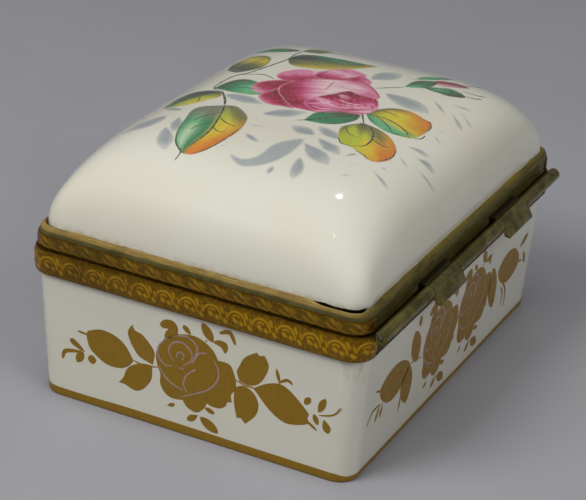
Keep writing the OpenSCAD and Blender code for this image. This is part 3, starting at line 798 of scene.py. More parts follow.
INK = srgb(44, 44, 30)
INK_GREEN = srgb(40, 66, 42)
INK_ROSE = srgb(150, 44, 84)
LID_LINES = [
    # colour, width, points: stems
    (INK_GREEN, 0.75, [(14.6, -19.4), (11, -21.2), (5.2, -25.2)]),
    (INK_GREEN, 0.6, [(5.6, -25.2), (3, -29), (-6.8, -29), (-13, -25.6), (-26.3, -22), (-33, -22.2),
                      (-38.3, -21.8)]),
    (INK_GREEN, 0.5, [(-9, -28.6), (-12, -22), (-10.4, -17.4)]),
    (INK_GREEN, 0.5, [(-20.4, 9.2), (-22.4, 11.4), (-26.6, 15.6)]),
    (INK_GREEN, 0.55, [(-1.2, 14.2), (1, 15.4), (4.6, 17.4)]),
    # midribs and veins
    (INK, 0.5, [(14.8, -19.1), (22.8, -16.4), (33.1, -14), (42.5, -14.6)]),
    (INK, 0.35, [(43.4, -16.4), (45.6, -15.2), (48.6, -15)]),
    (INK, 0.4, [(22.8, -16.4), (25.5, -13), (26.5, -9.5)]),
    (INK, 0.35, [(29.5, -14.8), (31.4, -12.2), (31, -10.2)]),
    (INK, 0.35, [(20, -17.4), (25, -20.4), (28.5, -21)]),
    (INK, 0.3, [(27, -15.6), (31, -18.4), (34, -18.8)]),
    (INK, 0.35, [(26, -8.2), (35, -8.2), (41, -9.6), (44.8, -12)]),
    (INK, 0.35, [(36, -21.4), (41.4, -19), (44.6, -16)]),
    (INK, 0.4, [(5.9, -25.4), (12, -29.6), (19, -33.4)]),
    (INK, 0.3, [(11, -28.8), (14, -27.6), (15.6, -27.6)]),
    (INK_GREEN, 0.35, [(3.2, -28.6), (0.2, -22.6), (-0.6, -17)]),
    (INK_GREEN, 0.3, [(-0.2, -24), (-3, -22.4), (-4.6, -20)]),
    (INK, 0.4, [(-28.4, -22), (-32.6, -12), (-36.4, -2)]),
    (INK, 0.3, [(-30.4, -17.4), (-28, -13.6), (-27.6, -11)]),
    (INK, 0.3, [(-32.2, -12.8), (-34.8, -11.4), (-36.2, -10.8)]),
    (INK, 0.35, [(-27, -27.8), (-20, -30), (-12.4, -31)]),
    (INK, 0.35, [(-38, -22.4), (-36, -29), (-34, -35)]),
    (INK, 0.35, [(-38.8, -20.6), (-42, -15.4), (-44.6, -11)]),
    (INK, 0.4, [(0.8, 13.8), (6.4, 8.8), (11.8, 3.8), (13.4, 1.8)]),
    (INK, 0.35, [(0.6, 10.4), (3, 6), (6.6, 4.2)]),
    (INK, 0.35, [(5.2, 14.4), (9.4, 12), (11.6, 8)]),
    (INK, 0.45, [(-2, 15), (-1.6, 22), (1.4, 28), (4.4, 30.6)]),
    (INK, 0.35, [(-1.8, 18), (1.6, 22.6), (5, 26)]),
    (INK, 0.3, [(-2, 20.4), (0.4, 26.6), (2.6, 31)]),
    (INK, 0.35, [(-5.6, 17), (-6.2, 20.4), (-5.4, 23)]),
    (INK, 0.35, [(-9.4, 30.2), (-6.8, 32.2), (-3.4, 32.4)]),
    (INK, 0.35, [(-1, 33), (1.6, 33), (3.4, 31.8)]),
    (INK, 0.5, [(4.8, 17.4), (8, 21.6), (13, 23.8), (18, 24), (20, 21.8)]),
    (INK, 0.35, [(9.6, 14.6), (13.4, 17), (14.6, 20)]),
    (INK, 0.4, [(13, 24), (14.6, 27.2), (14.2, 29.4)]),
    (INK, 0.35, [(17.6, 16.2), (20.6, 18.4), (20.6, 21.4)]),
    (INK, 0.35, [(22.4, 23.4), (23, 26), (24.8, 28)]),
    (INK, 0.35, [(13.6, 31.2), (18.4, 32), (23, 30.6)]),
    (INK, 0.3, [(26.6, 22.8), (24, 24.4)]),
    # bud
    (INK_GREEN, 0.45, [(-41.4, 26.6), (-46, 29), (-50.4, 30)]),
    (INK, 0.4, [(-36.6, 29), (-38.4, 32.4), (-41, 34.4)]),
    (INK, 0.4, [(-33.4, 30.4), (-35.4, 33), (-38, 34.4)]),
    (INK, 0.55, [(-29.2, 19.8), (-31.8, 22.6), (-33, 26.4), (-32.6, 30.4)]),
    (INK_GREEN, 0.4, [(-30.4, 20), (-36, 20.4), (-41, 25)]),
    # lines of the rose
    (PINK, 0.36, [(-12.6, -11.6), (-7.4, -13.2), (-2.8, -12), (1.2, -8.6), (5.8, -3.4)]),
    (WINE, 0.5, [(-1.6, -11.2), (1.8, -7.8), (4.8, -4.4)]),
    (CRIMSON, 0.55, [(-13, -11.6), (-17.9, -7.7), (-20.8, -3.4), (-24, 0.5), (-27.8, 1.8)]),
    (CRIMSON, 0.45, [(-20.6, -2.6), (-22.4, 1.4), (-22.2, 5.6)]),
    (WINE, 0.6, [(-8.2, 1.2), (-11.2, 3.2), (-13.8, 4.6), (-12.8, 6.6), (-12.6, 9)]),
    (INK_ROSE, 0.28, [(-16.2, -0.1), (-15.4, 3), (-16.3, 7.6), (-14.8, 12.3)]),
    (INK_ROSE, 0.3, [(-18.7, -2.7), (-15.6, -2.2), (-11.2, -1.8)]),
    (INK_ROSE, 0.3, [(-21.3, 1.6), (-20.8, 6.8), (-15.5, 12.5)]),
    (INK_ROSE, 0.28, [(-13, 8), (-14.4, 9.6), (-14.2, 12)]),
    (INK_ROSE, 0.35, [(-26.6, -6), (-28.2, -4.4), (-27.2, -2.6)]),
    (ROSE, 0.5, [(-4.7, 5.2), (-6.4, 9.4), (-6.7, 13.4)]),
    (PETAL_WHITE, 0.4, [(-6.6, 4.6), (-5.6, 8), (-6.4, 11.4)]),
    (BLUSH, 0.4, [(-4.4, 8), (-4.4, 11), (-6, 14)]),
    (PETAL_WHITE, 0.35, [(-2.4, 3), (-1.4, 6.4), (-2.4, 10)]),
    (ROSE, 0.35, [(0.8, 1), (0.6, 4.6), (-0.8, 8)]),
    (BLUSH, 0.35, [(1.8, 0.4), (2, 3.4), (0.8, 6)]),
]


def ribbons(strokes, put, lift, depth=0.05):
    """Tapered brush strokes as thin raised ribbons. put(points, lift) places plan points."""
    verts, faces, tints = [], [], []
    for colour, width, points in strokes:
        line = curve(points, 7)
        along = np.gradient(line, axis=0)
        along /= np.linalg.norm(along, axis=1)[:, None]
        side = np.stack([-along[:, 1], along[:, 0]], -1)
        t = np.linspace(0, 1, len(line))
        half = (width / 2 * (0.25 + 0.75 * np.sin(math.pi * np.clip(t, 0.02, 0.98)) ** 0.6))[:, None]
        rows = np.stack([put(line + side * half, -depth), put(line + side * half, lift),
                         put(line, lift * 1.5), put(line - side * half, lift),
                         put(line - side * half, -depth)], 1)
        first = len(verts)
        n = len(line)
        verts.extend(rows.reshape(-1, 3))
        faces.extend(grid_faces(n, 5, first, wrap_cols=True))
        faces.append(tuple(first + j for j in range(5)))
        faces.append(tuple(first + (n - 1) * 5 + j for j in range(4, -1, -1)))
        tints.extend([(*colour, 1.0)] * (n * 5))
    return np.array(verts), faces, np.array(tints)


def make_lid():
    """The painted dome outside, a plain dome inside, and the foot between them."""
    nx, ny, coarse = 416, 320, 8
    u, v = even_steps(LID_W / 2, nx), even_steps(LID_D / 2, ny)
    gu, gv = np.meshgrid(u, v, indexing="ij")
    outer = dome_points(gu, gv, LID_W, LID_D, DOME_H, DOME_R)
    iu, iv = u[::coarse], v[::coarse]
    hu, hv = np.meshgrid(iu, iv, indexing="ij")
    inner = dome_points(hu, hv, LID_W - 2 * WALL, LID_D - 2 * WALL, DOME_H - WALL, CORNER_R - 1)

    def edge(rows, cols):
        return ([(i, 0) for i in range(rows)] + [(rows, j) for j in range(cols)]
                + [(i, cols) for i in range(rows, 0, -1)] + [(0, j) for j in range(cols, 0, -1)])

    outer_edge = [i * (ny + 1) + j for i, j in edge(nx, ny)]
    first_inner = outer.shape[0] * outer.shape[1]
    ni, nj = nx // coarse, ny // coarse
    inner_edge = [first_inner + i * (nj + 1) + j for i, j in edge(ni, nj)]
    verts = np.concatenate([outer.reshape(-1, 3), inner.reshape(-1, 3)])
    soft_edge = 0.5
    outer_low = verts[outer_edge].copy()
    outer_low[:, 2] = LID_FOOT + soft_edge
    outer_foot = outer_low.copy()
    outer_foot[:, :2] *= 1 - soft_edge / (LID_W / 2)
    outer_foot[:, 2] = LID_FOOT
    inner_foot = verts[inner_edge].copy()
    inner_foot[:, 2] = LID_FOOT
    at_low = len(verts)
    at_foot = at_low + len(outer_low)
    at_inner = at_foot + len(outer_foot)
    verts = np.concatenate([verts, outer_low, outer_foot, inner_foot])
    n, m = len(outer_edge), len(inner_edge)
    faces = grid_faces(nx + 1, ny + 1) + grid_faces(ni + 1, nj + 1, first_inner)
    for k in range(n):
        k2 = (k + 1) % n
        faces.append((outer_edge[k], outer_edge[k2], at_low + k2, at_low + k))
        faces.append((at_low + k, at_low + k2, at_foot + k2, at_foot + k))
    for k in range(m):
        k2 = (k + 1) % m
        fine = [at_foot + (k * coarse + s) % n for s in range(coarse, -1, -1)]
        faces.append(tuple([at_inner + k, at_inner + k2] + fine))
        faces.append((inner_edge[k], inner_edge[k2], at_inner + k2, at_inner + k))
    art = Painting(outer[..., 0].ravel(), outer[..., 1].ravel())
    paint_shadow_leaves(art)
    paint_leaves(art)
    paint_bud(art)
    paint_rose(art)
    paint = np.zeros((len(verts), 4))
    paint[:, :3] = GLAZE
    paint[:first_inner, :3] = art.rgb
    paint[:first_inner, 3] = art.cover
    outside = np.zeros(len(verts))
    outside[:first_inner] = 1
    outside[at_low:at_inner] = 1
    new_piece("lid_dome", verts, faces, "lid", glaze_lid(), "porcelain_lid", ["lid_porcelain"],
              values={"paint": paint, "outside": outside})
    verts, faces, tints = ribbons(LID_LINES, on_dome, 0.02)
    new_piece("lid_linework", verts, faces, "lid", line_paint(), "porcelain_lid", values={"paint": tints})


# ---------------------------------------------------------------- the base and its gold
SOFT_FOOT = 0.6
FOOT_STEPS = 5


def loop_stack(rings):
    """Verts and faces of closed loops of equal length, joined in turn and capped at both ends."""
    n = len(rings[0])
    faces = grid_faces(len(rings), n, wrap_cols=True)
    faces.append(tuple(range(n)))
    faces.append(tuple((len(rings) - 1) * n + k for k in range(n)))
    return np.concatenate(rings), faces


def base_ring(inset, z, r):
    """A loop round the base at height z, set in from the outer wall."""
    w = FOOT_W + 2 * FLARE * z / BASE_H
    d = RIM_D - 2 * FLARE * (1 - z / BASE_H)
    points, _ = rim_path(w - 2 * inset, d - 2 * inset, max(r, 0.3), 2.0)
    return np.column_stack([points, np.full(len(points), z)])


def foot_arc():
    """Inset and height up the softened edge of the foot."""
    arc = [math.pi / 2 * k / FOOT_STEPS for k in range(FOOT_STEPS + 1)]
    return [(SOFT_FOOT * (1 - math.sin(a)), SOFT_FOOT * (1 - math.cos(a))) for a in arc]


def make_base():
    """The flared base: softened foot, walls, rim, and a rounded hollow."""
    fillet = 5.0
    rings = [base_ring(SOFT_FOOT + 5, 0.35, CORNER_R - 3), base_ring(SOFT_FOOT + 3.6, 0.3, CORNER_R - 2.5),
             base_ring(SOFT_FOOT + 3.2, 0, CORNER_R - 2.4)]
    rings += [base_ring(inset, z, CORNER_R) for inset, z in foot_arc()]
    rings += [base_ring(0, z, CORNER_R) for z in np.linspace(4, BASE_H - 0.4, 12)]
    rings += [base_ring(0.4, BASE_H, CORNER_R - 0.4), base_ring(WALL - 0.4, BASE_H, 3)]
    rings += [base_ring(WALL, z, 3) for z in np.linspace(BASE_H - 0.4, FLOOR + fillet, 8)]
    for k in range(1, 9):
        a = math.pi / 2 * k / 8
        rings.append(base_ring(WALL + fillet * (1 - math.cos(a)), FLOOR + fillet * (1 - math.sin(a)), 3))
    verts, faces = loop_stack(rings)
    new_piece("base_body", verts, faces, "base", glaze_base(), "porcelain", ["base_porcelain"], sharp=50)


def on_wall(wall):
    """Places (width, height) points on a wall. Wall 0 is +X, 1 the back, 2 is -X and 3 the front.
    Width runs left to right as seen from outside."""
    depth = (RIM_W if wall % 2 == 0 else RIM_D) / 2
    angle = math.pi / 2 * wall
    out = np.array([math.cos(angle), math.sin(angle), 0])
    right = np.array([-math.sin(angle), math.cos(angle), 0])

    def put(points, lift=0.0):
        p = np.asarray(points, float)
        d = depth - FLARE * (1 - p[:, 1] / BASE_H) + lift
        return p[:, :1] * right + d[:, None] * out + p[:, 1:] * np.array([0, 0, 1.0])

    return put


def leaf_outline(base, tip, left, right=None):
    """Closed outline of a leaf. left and right are (half width, belly); right is like left if not given."""
    steps = 12
    right = right or left
    base, tip = np.array(base, float), np.array(tip, float)
    span = np.linalg.norm(tip - base)
    along = (tip - base) / span
    side = np.array([-along[1], along[0]])
    p = np.linspace(0, 1, steps + 1)
    spine = base + np.outer(p * span, along)
    upper = spine + np.outer(leaf_side(p, *left), side)
    lower = spine - np.outer(leaf_side(p, *right), side)
    return np.concatenate([upper, lower[-2:0:-1]])


def joined(sides):
    """A closed outline of smooth sides. Each runs on to the sharp point where the next one starts."""
    return np.concatenate([curve([*side, after[0]], 5)[:-1] for side,
                           after in zip(sides, sides[1:] + sides[:1])])


def shift(points, dx):
    """Points moved along the wall."""
    return [(x + dx, y) for x, y in points]


ROSE_OUTLINE = [
    [(-7.7, 27.6), (-9.6, 24.5), (-10.3, 21.5)],
    [(-9.7, 18.4), (-8.9, 16.4), (-9, 13.8), (-7.6, 11.2), (-5.3, 10.2)],
    [(-2.2, 10.6), (-0.8, 8.8), (1.9, 8.1), (4, 9.8)],
    [(5, 11.9), (6.4, 11.4), (8.9, 11.6)], [(10.6, 12.9), (11, 14.1)],
    [(12.3, 14.5), (12, 16.6), (13.1, 18.4), (13.4, 20.7), (12.6, 23.6), (11.2, 25.6)],
    [(8, 25.7), (6.6, 28.1), (3.6, 30.2), (0.2, 30.8), (-4.3, 29.7)]]
SCRATCH_W = 0.52
ROSE_SCRATCHES = [
    [(-2.6, 22.6), (-1.9, 23.8), (-2.8, 24.8), (-4, 24), (-3.8, 22.6)],
    [(-2.2, 20.9), (0.2, 23.4), (0.1, 26), (-2.6, 27.8), (-5.6, 26.6), (-6.4, 23.8), (-4.8, 21.4)],
    [(-5.4, 28.8), (-1.4, 30), (1.6, 28.2), (1.6, 25.4), (0, 22.4)],
    [(-6.8, 28), (-9.3, 25), (-9.6, 21.8), (-7.4, 19.6), (-5, 20.2)],
    [(-9.4, 18.6), (-6.4, 15.2), (-1.8, 13.4)],
    [(4.8, 26.8), (2.2, 25.8), (0.7, 22.4)],
    [(1.6, 21.2), (-1, 18.6), (-2, 15.6), (-1, 13.4)],
    [(6.8, 25.4), (8.2, 22.6), (7.8, 19.4), (5.4, 16.2), (2, 14), (-2.8, 11.4)],
    [(0.8, 20.2), (1.4, 20.8)], [(-3.4, 20), (-2, 20)]]


def gold_rose(dx):
    """The flat gold rose with its small blooms, moved along the wall."""
    shapes = [joined([shift(side, dx) for side in ROSE_OUTLINE])]
    shapes.append(curve(shift([(-9.1, 31.5), (-7.7, 33.1), (-5.4, 33.4), (-4, 32.2), (-3.8, 30),
                               (-4.8, 28.4), (-7.6, 27.8), (-7.4, 29.6), (-6.6, 30.6), (-8.3, 30.5)], dx),
                        4, closed=True))
    shapes.append(curve(shift([(6.6, 30.6), (8, 31.7), (10.3, 31.5), (10.8, 29.8), (10, 28.4), (8.8, 29.8)],
                              dx),
                        4, closed=True))
    for base, tip, side in [((-2.3, 33), (0, 30.9), (0.8, 0.4)), ((3.2, 35.4), (6.5, 30.5), (1.4, 0.5)),
                            ((4.2, 30.3), (4.8, 30.5), (0.3, 0.5)), ((-6.8, 7.5), (-4.5, 8.5), (0.6, 0.6)),
                            ((2.4, 7.4), (-0.8, 4.9), (0.95, 0.6)), ((3, 7.1), (8.5, 3.8), (1.5, 0.5)),
                            ((4.4, 10.4), (7.4, 9.4), (0.75, 0.5))]:
        shapes.append(leaf_outline(*shift([base, tip], dx), side))
    return shapes


def end_spray():
    """Gold shapes of the spray on each short wall, and its fine strokes."""
    shapes = gold_rose(0)
    shapes += [joined(sides) for sides in [
        [[(-17, 18), (-19.7, 22), (-23.2, 24), (-27.3, 24.3)],
         [(-31, 22.8), (-31.4, 21.4), (-30.6, 18.1), (-28.6, 16.1), (-25.1, 14.3), (-20.9, 14.5),
          (-18.3, 16.1)]],
        [[(-11.2, 18.5), (-15.1, 19.7), (-16.9, 21.7), (-18.1, 23.8), (-18.7, 26.4)],
         [(-17.3, 28.8), (-16.6, 27.3), (-14.4, 26.6), (-12, 24.4), (-10.7, 22.4), (-10.8, 20.3)]],
        [[(-11.4, 18.2), (-14.5, 17.9), (-17.4, 16.5), (-19.2, 14.6), (-20.1, 12)],
         [(-21.6, 10), (-19.6, 9.9), (-17, 9), (-15, 9.5), (-13.1, 11.4), (-11.5, 14.3)]],
        [[(14.3, 21.6), (13.5, 24), (14.2, 26), (15.7, 29)], [(19, 31.4), (20, 30.7)],
         [(21.2, 31.2), (22.5, 28.6), (21.7, 25.4), (19.8, 22.4), (17.1, 21.1)]],
        [[(13.1, 19.3), (15.4, 20.5), (18.3, 19.4), (19.9, 16.5), (19.3, 12.9)], [(16.3, 9.3), (14.9, 10.6)],
         [(13.8, 10.3), (13, 13.9), (12.8, 17)]],
        [[(18.3, 20.7), (21.9, 23.1), (25.7, 24.3), (29, 23), (32.4, 20)],
         [(34.3, 18), (33.9, 16.6), (34.3, 15.3), (31, 13.8), (27.2, 13.4), (23.2, 15.6), (19.8, 19.1)]]]]
    shapes += [leaf_outline(*leaf) for leaf in [
        ((-36.6, 18.8), (-32, 16), (0.9, 0.3)), ((-32.5, 15.9), (-34.6, 12.2), (1.2, 0.5)),
        ((-29.9, 15.8), (-29.7, 13), (1.3, 0.5)), ((25.7, 24.5), (24.7, 28.5), (0.5, 0.5)),
        ((32.9, 20.6), (34.5, 23), (0.9, 0.5)), ((36.8, 19.4), (38.7, 24), (1, 0.55), (1, 0.5)),
        ((35.6, 18.6), (36.8, 15.6), (0.8, 0.5)), ((38.4, 17.8), (39.8, 14), (1.2, 0.6), (1.1, 0.6))]]
    strokes = [(0.5, [(-17, 18), (-14, 17.6), (-9.6, 18.2)]), (0.7, [(-31, 21.6), (-34.2, 21.9)]),
               (1.2, [(-39, 12), (-38, 14.6), (-33, 15.8)]), (1.3, [(8.3, 33.8), (11.2, 34.8), (12.9, 31.8)]),
               (0.8, [(33.2, 16.2), (36.6, 14)]), (0.9, [(25.4, 24.5), (27.8, 26), (29.4, 25.2)]),
               (0.55, [(37, 18.6), (40.9, 19.9), (43, 22.6)]), (0.45, [(13.2, 21.6), (16, 20.8), (19, 20.8)])]
    return shapes, strokes, ROSE_SCRATCHES


def long_spray():
    """The longer spray, with two roses, on the front and the back."""
    left_rose, right_rose = -11.5, 12.5
    shapes = gold_rose(left_rose) + gold_rose(right_rose)
    shapes += [leaf_outline(*leaf) for leaf in [
        ((-30.2, 20.6), (-49.8, 22), (6.4, 0.5), (4.2, 0.5)), ((-31, 21), (-29.5, 8.8), (2.8, 0.5),
                                                               (4.6, 0.45)),
        ((-25.6, 19.6), (-29.8, 30.4), (3, 0.5)), ((-34, 13.6), (-34.7, 8.2), (0.5, 0.4)),
        ((-27, 34), (-26.6, 30.6), (1.1, 0.5)), ((26, 25.8), (30.6, 11), (3, 0.5), (3.4, 0.5)),
        ((31, 22.6), (49, 18.4), (5.4, 0.5), (5.2, 0.5)), ((47.6, 23.4), (53.6, 25.8), (1.2, 0.6)),
        ((52, 20.4), (54.4, 15.8), (0.9, 0.5)), ((-46.4, 17), (-47.4, 13), (0.7, 0.6)),
        ((-48.2, 17.6), (-50.4, 13), (0.7, 0.6))]]
    strokes = [(0.5, [(-31, 21), (-27, 20.6), (-22.4, 19.4)]),
               (0.8, [(-48, 17.4), (-52.6, 17.4), (-55.4, 14.4)]),
               (0.9, [(36, 17.2), (40.2, 12.6), (40.8, 7)]), (0.8, [(35.6, 15.6), (38.2, 12), (37.6, 8.8)]),
               (0.7, [(-49.4, 22), (-52, 23)]), (0.7, [(48.6, 18.6), (51.4, 17.8)])]
    scratches = [shift(line, dx) for dx in (left_rose, right_rose) for line in ROSE_SCRATCHES]
    return shapes, strokes, scratches


def plate(outline, put, lift, depth):
    """A thin closed plate of an outline, laid on a wall."""
    n = len(outline)
    faces = [tuple(range(n)), tuple(range(2 * n - 1, n - 1, -1))]
    faces += [(k, (k + 1) % n, n + (k + 1) % n, n + k) for k in range(n)]
    return [*put(outline, lift), *put(outline, -depth)], faces


def make_gold():
    """Flat gold sprays on the four walls, their scratched lines, and the band round the foot."""
    lift, depth = 0.03, 0.1
    gold = gold_paint("painted_gold", srgb(150, 114, 8), srgb(138, 104, 8), metal=0.15)
    mauve = gold_paint("scratched_gold", srgb(172, 148, 140), srgb(156, 128, 118), metal=0.1)
    plates, strokes, scratches = [], [], []
    for wall in range(4):
        shapes, lines, scratch_lines = end_spray() if wall % 2 == 0 else long_spray()
        put = on_wall(wall)
        plates += [plate(outline, put, lift, depth) for outline in shapes]
        strokes.append(ribbons([(GLAZE, w, p) for w, p in lines], put, lift, depth)[:2])
        scratched = [(GLAZE, SCRATCH_W, line) for line in scratch_lines]
        scratches.append(ribbons(scratched, put, lift + 0.02, 0.0)[:2])
    new_piece("base_gold_sprays", *merged(plates + strokes), "base", gold, "porcelain", sharp=30)
    new_piece("base_gold_scratches", *merged(scratches), "base", mauve, "porcelain")
    make_foot_band(gold)


def make_foot_band(gold):
    """The gold line round the foot, its upper edge drawn by hand."""
    band = 2.75
    thick = 0.03
    lowest = 0.02
    levels = [(SOFT_FOOT - thick, lowest)] + foot_arc()[1:]
    rings = [base_ring(inset - thick, max(z, lowest), CORNER_R) for inset, z in levels]
    points = base_ring(-thick, band, CORNER_R)
    wave = value_noise(np.arange(len(points)) * 0.11, 0.0, 71) - 0.5
    thin_behind = 1.6 * ease((points[:, 1] - 42) / 3)
    foot_top = levels[-1][1]
    top = band + 0.5 * (wave - thin_behind)
    for share in (0.6, 1.0):
        rings.append(np.column_stack([points[:, :2], foot_top + (top - foot_top) * share]))
    in_wall, in_foot = 0.25, 0.5
    rings.append(np.column_stack([points[:, :2] * (1 - in_wall / (RIM_W / 2)), top]))
    rings.append(np.column_stack([rings[0][:, :2] * (1 - in_foot / (RIM_W / 2)), np.full(len(points), 0.3)]))
    verts = np.concatenate(rings)
    faces = grid_faces(len(rings), len(points), wrap_rows=True, wrap_cols=True)
    new_piece("base_foot_band", verts, faces, "base", gold, "porcelain", sharp=50)


# ---------------------------------------------------------------- mounts
def ridge(distance, width):
    """A rounded ridge across a line."""
    return np.exp(-(distance / width) ** 2)


def arch_relief(s, z):
    """Relief of the base strip, 0 to 1: an arch with a stroke at its right end, and three beads
    under it. s is in millimetres along the strip and z down from its top edge."""
    period = 6.95
    x = (s % period) - 2.4
    out = np.zeros_like(x)
    angle = np.degrees(np.arctan2(3.3 - z, x - 1.2))
    arc = np.abs(np.hypot((x - 1.2) * 0.86, 3.3 - z) - 2.0)
    taper = ease((angle + 5) / 40) * ease((190 - angle) / 60)
    out = np.maximum(out, ridge(arc, 0.19) * taper)
    inner = np.abs(np.hypot(x - 1.1, 3.4 - z) - 1.15)
    out = np.maximum(out, 0.5 * ridge(inner, 0.2) * ease((angle - 20) / 40) * ease((170 - angle) / 40))
    for a, b, width, high in [((3.7, 1.2), (4.3, 2.5), 0.2, 0.95), ((3.5, 2.6), (3.9, 4.2), 0.2, 0.45),
                              ((-2.1, 4.4), (-1.6, 5.0), 0.3, 1.0), ((0.6, 3.5), (1.2, 4.0), 0.32, 1.0),
                              ((2.5, 4.0), (2.9, 4.4), 0.28, 0.95), ((-1.8, 2.2), (-1.3, 3.6), 0.2, 0.4)]:
        out = np.maximum(out, high * ridge(segment_gap(x, z, a, b), width))
    return out


def scroll_relief(s, z):
    """Relief of the lid strip, 0 to 1: a running scroll of slanting leaves."""
    period = 6.4
    out = np.zeros_like(s)
    for turn in (-1, 0, 1):
        x = (s % period) + turn * period
        spine = 0.35 + 2.9 * ease((x - 0.2) / 5.4)
        width = 0.2 * np.clip(np.sin(math.pi * np.clip((x + 0.4) / 6.6, 0, 1)), 0.0, 1) + 0.05
        out = np.maximum(out, 0.75 * ridge(z - spine, width) * ((x > -0.5) & (x < 6.4)))
        for a, b, wide, high in [((1.6, 0.7), (2.5, 1.5), 0.34, 0.9), ((0.4, 2.0), (1.5, 2.9), 0.3, 0.7),
                                 ((3.3, 1.1), (4.3, 1.7), 0.28, 0.7), ((2.0, 3.0), (3.2, 3.3), 0.26, 0.55)]:
            out = np.maximum(out, high * ridge(segment_gap(x, z, a, b), wide))
    return out


def make_strip(name, node, out_edge, top, bottom, crown, relief, relief_h, rows, material):
    """An embossed strip on the two ends and the front: a bowed face with relief, and a flat back."""
    step = 0.21
    points, outs = rim_path(RIM_W, RIM_D, CORNER_R, step, closed=False)
    s = np.concatenate([[0], np.cumsum(np.linalg.norm(np.diff(points, axis=0), axis=1))])
    share = np.linspace(0, 1, rows)
    z = top - share * (top - bottom)
    bow = 0.12 + crown * np.clip(1 - np.abs(2 * share - 1) ** 2.6, 0, 1) ** 0.8
    gs, gz = np.meshgrid(-s, top - z, indexing="ij")
    high = relief(gs + 500, gz)
    fade = ease(np.minimum(gz, (top - bottom) - gz) / 0.6)
    high = high * fade
    dent = 0.1 * (value_noise(gs * 0.12 + 40, gz * 0.3, 81) - 0.5)
    front = out_edge + bow[None, :] + relief_h * high + dent
    front[:, 0] = front[:, -1] = out_edge + 0.12
    grid = np.zeros((len(points), rows + 2, 3))
    grid[:, :rows, :2] = points[:, None, :] + outs[:, None, :] * front[..., None]
    grid[:, :rows, 2] = z
    back = out_edge - 0.1
    for k, level in ((rows, z[-1]), (rows + 1, z[0])):
        grid[:, k, :2] = points + outs * back
        grid[:, k, 2] = level
    cols = rows + 2
    faces = grid_faces(len(points), cols, wrap_cols=True)
    faces.append(tuple(range(cols)))
    faces.append(tuple((len(points) - 1) * cols + k for k in range(cols)))
    values = np.zeros((len(points), cols))
    values[:, :rows] = high * 0.85 + 0.12 * fade
    new_piece(name, grid.reshape(-1, 3), faces, "base" if "base" in name else "lid", material,
              "brass_embossed", [node], values={"relief": values.ravel()}, sharp=70)


def make_lid_mount(material):
    """The lid's frame: a leg, a rounded bead on top and a flange under the rim, a little battered."""
    points, outs = rim_path(RIM_W, RIM_D, CORNER_R, 1.4)
    n = len(points)
    s = np.arange(n) * 1.4
    foot = LID_MOUNT_LOW[2]
    reach = -BEAD_IN
    flange = -5.4
    section = [(0, foot), (0, foot + 1.5), (0, LID_LEG_TOP - 0.6), (0, LID_LEG_TOP)]
    curl = [math.pi / 2 * k / 9 for k in range(1, 10)]
    section += [(BEAD_IN + reach * math.cos(a), LID_LEG_TOP + BEAD_H * math.sin(a)) for a in curl]
    section += [(BEAD_IN + (reach - SHEET) * math.cos(a), LID_LEG_TOP + (BEAD_H - SHEET) * math.sin(a))
                for a in reversed(curl)]
    section += [(-SHEET, LID_LEG_TOP), (-SHEET, foot + SHEET), (flange, foot + SHEET), (flange, foot)]
    corner = np.hypot(points[:, 0] - RIM_W / 2, points[:, 1] - 41)
    crack = 0.62 * (1 - ease((corner - 5.6) / 3))
    grid = np.zeros((n, len(section), 3))
    for k, (out, z) in enumerate(section):
        on_bead = max(0.0, min(1.0, (z - LID_LEG_TOP + 0.6) / BEAD_H))
        fine = 0.4 * (value_noise(s * 0.4, 5.0, 92) - 0.5)
        dent = on_bead * 0.3 * (value_noise(s * 0.09, 1.0, 91) - 0.5 + fine)
        inward = max(0.0, min(1.0, -out / reach)) if k < 24 else 0.0
        grid[:, k, :2] = points + outs * (out + dent + 0.8 * inward * crack)[:, None]
        grid[:, k, 2] = z - 0.7 * inward * crack + on_bead * 0.3 * (value_noise(s * 0.13, 3.0, 93) - 0.6)
    faces = grid_faces(n, len(section), wrap_rows=True, wrap_cols=True)
    new_piece("lid_frame", grid.reshape(-1, 3), faces, "lid", material, "brass", ["lid_mount"])


def make_glue(material):
    """Cement squeezed out where the dome meets the bead: thick along the hinge, missing at the
    corner between the +X end and the hinge."""
    points, outs = rim_path(RIM_W, RIM_D, CORNER_R, 0.6)
    n = len(points)
    s = np.arange(n) * 0.6
    hinge_side = ease((points[:, 1] - 44) / 3)
    corner = np.hypot(points[:, 0] - RIM_W / 2, points[:, 1] - RIM_D / 2)
    rough = value_noise(s * 0.16, 2.0, 95) + 0.25 * value_noise(s * 1.1, 7.0, 96)
    end = np.hypot(points[:, 0] - RIM_W / 2, points[:, 1] - 38)
    corner = np.minimum(corner, end)
    thick = (0.1 + 0.4 * hinge_side + (0.12 + 0.4 * hinge_side) * rough) * ease((corner - 6.5) / 2.5)
    wall = BEAD_IN - 0.2
    low = LID_LEG_TOP + BEAD_H - 0.75
    drop = 2.2 * (1 - ease((corner - 7.5) / 4))
    profile = [(-0.5, -0.5), (0.75, -0.4), (0.85, 0.2), (0.55, 0.6), (0.2, 0.85), (-0.45, 0.95)]
    grid = np.zeros((n, len(profile), 3))
    for k, (out, up) in enumerate(profile):
        lump = 0.07 * (value_noise(s * 0.8, k * 3.1, 97) - 0.5)
        grid[:, k, :2] = points + outs * (wall + out * (0.5 + 0.9 * thick if out > 0 else 1) + lump)[:, None]
        grid[:, k, 2] = low + up * (0.35 + thick) + lump - drop
    faces = grid_faces(n, len(profile), wrap_rows=True, wrap_cols=True)
    new_piece("lid_cement_squeeze", grid.reshape(-1, 3), faces, "lid", material, "cement")


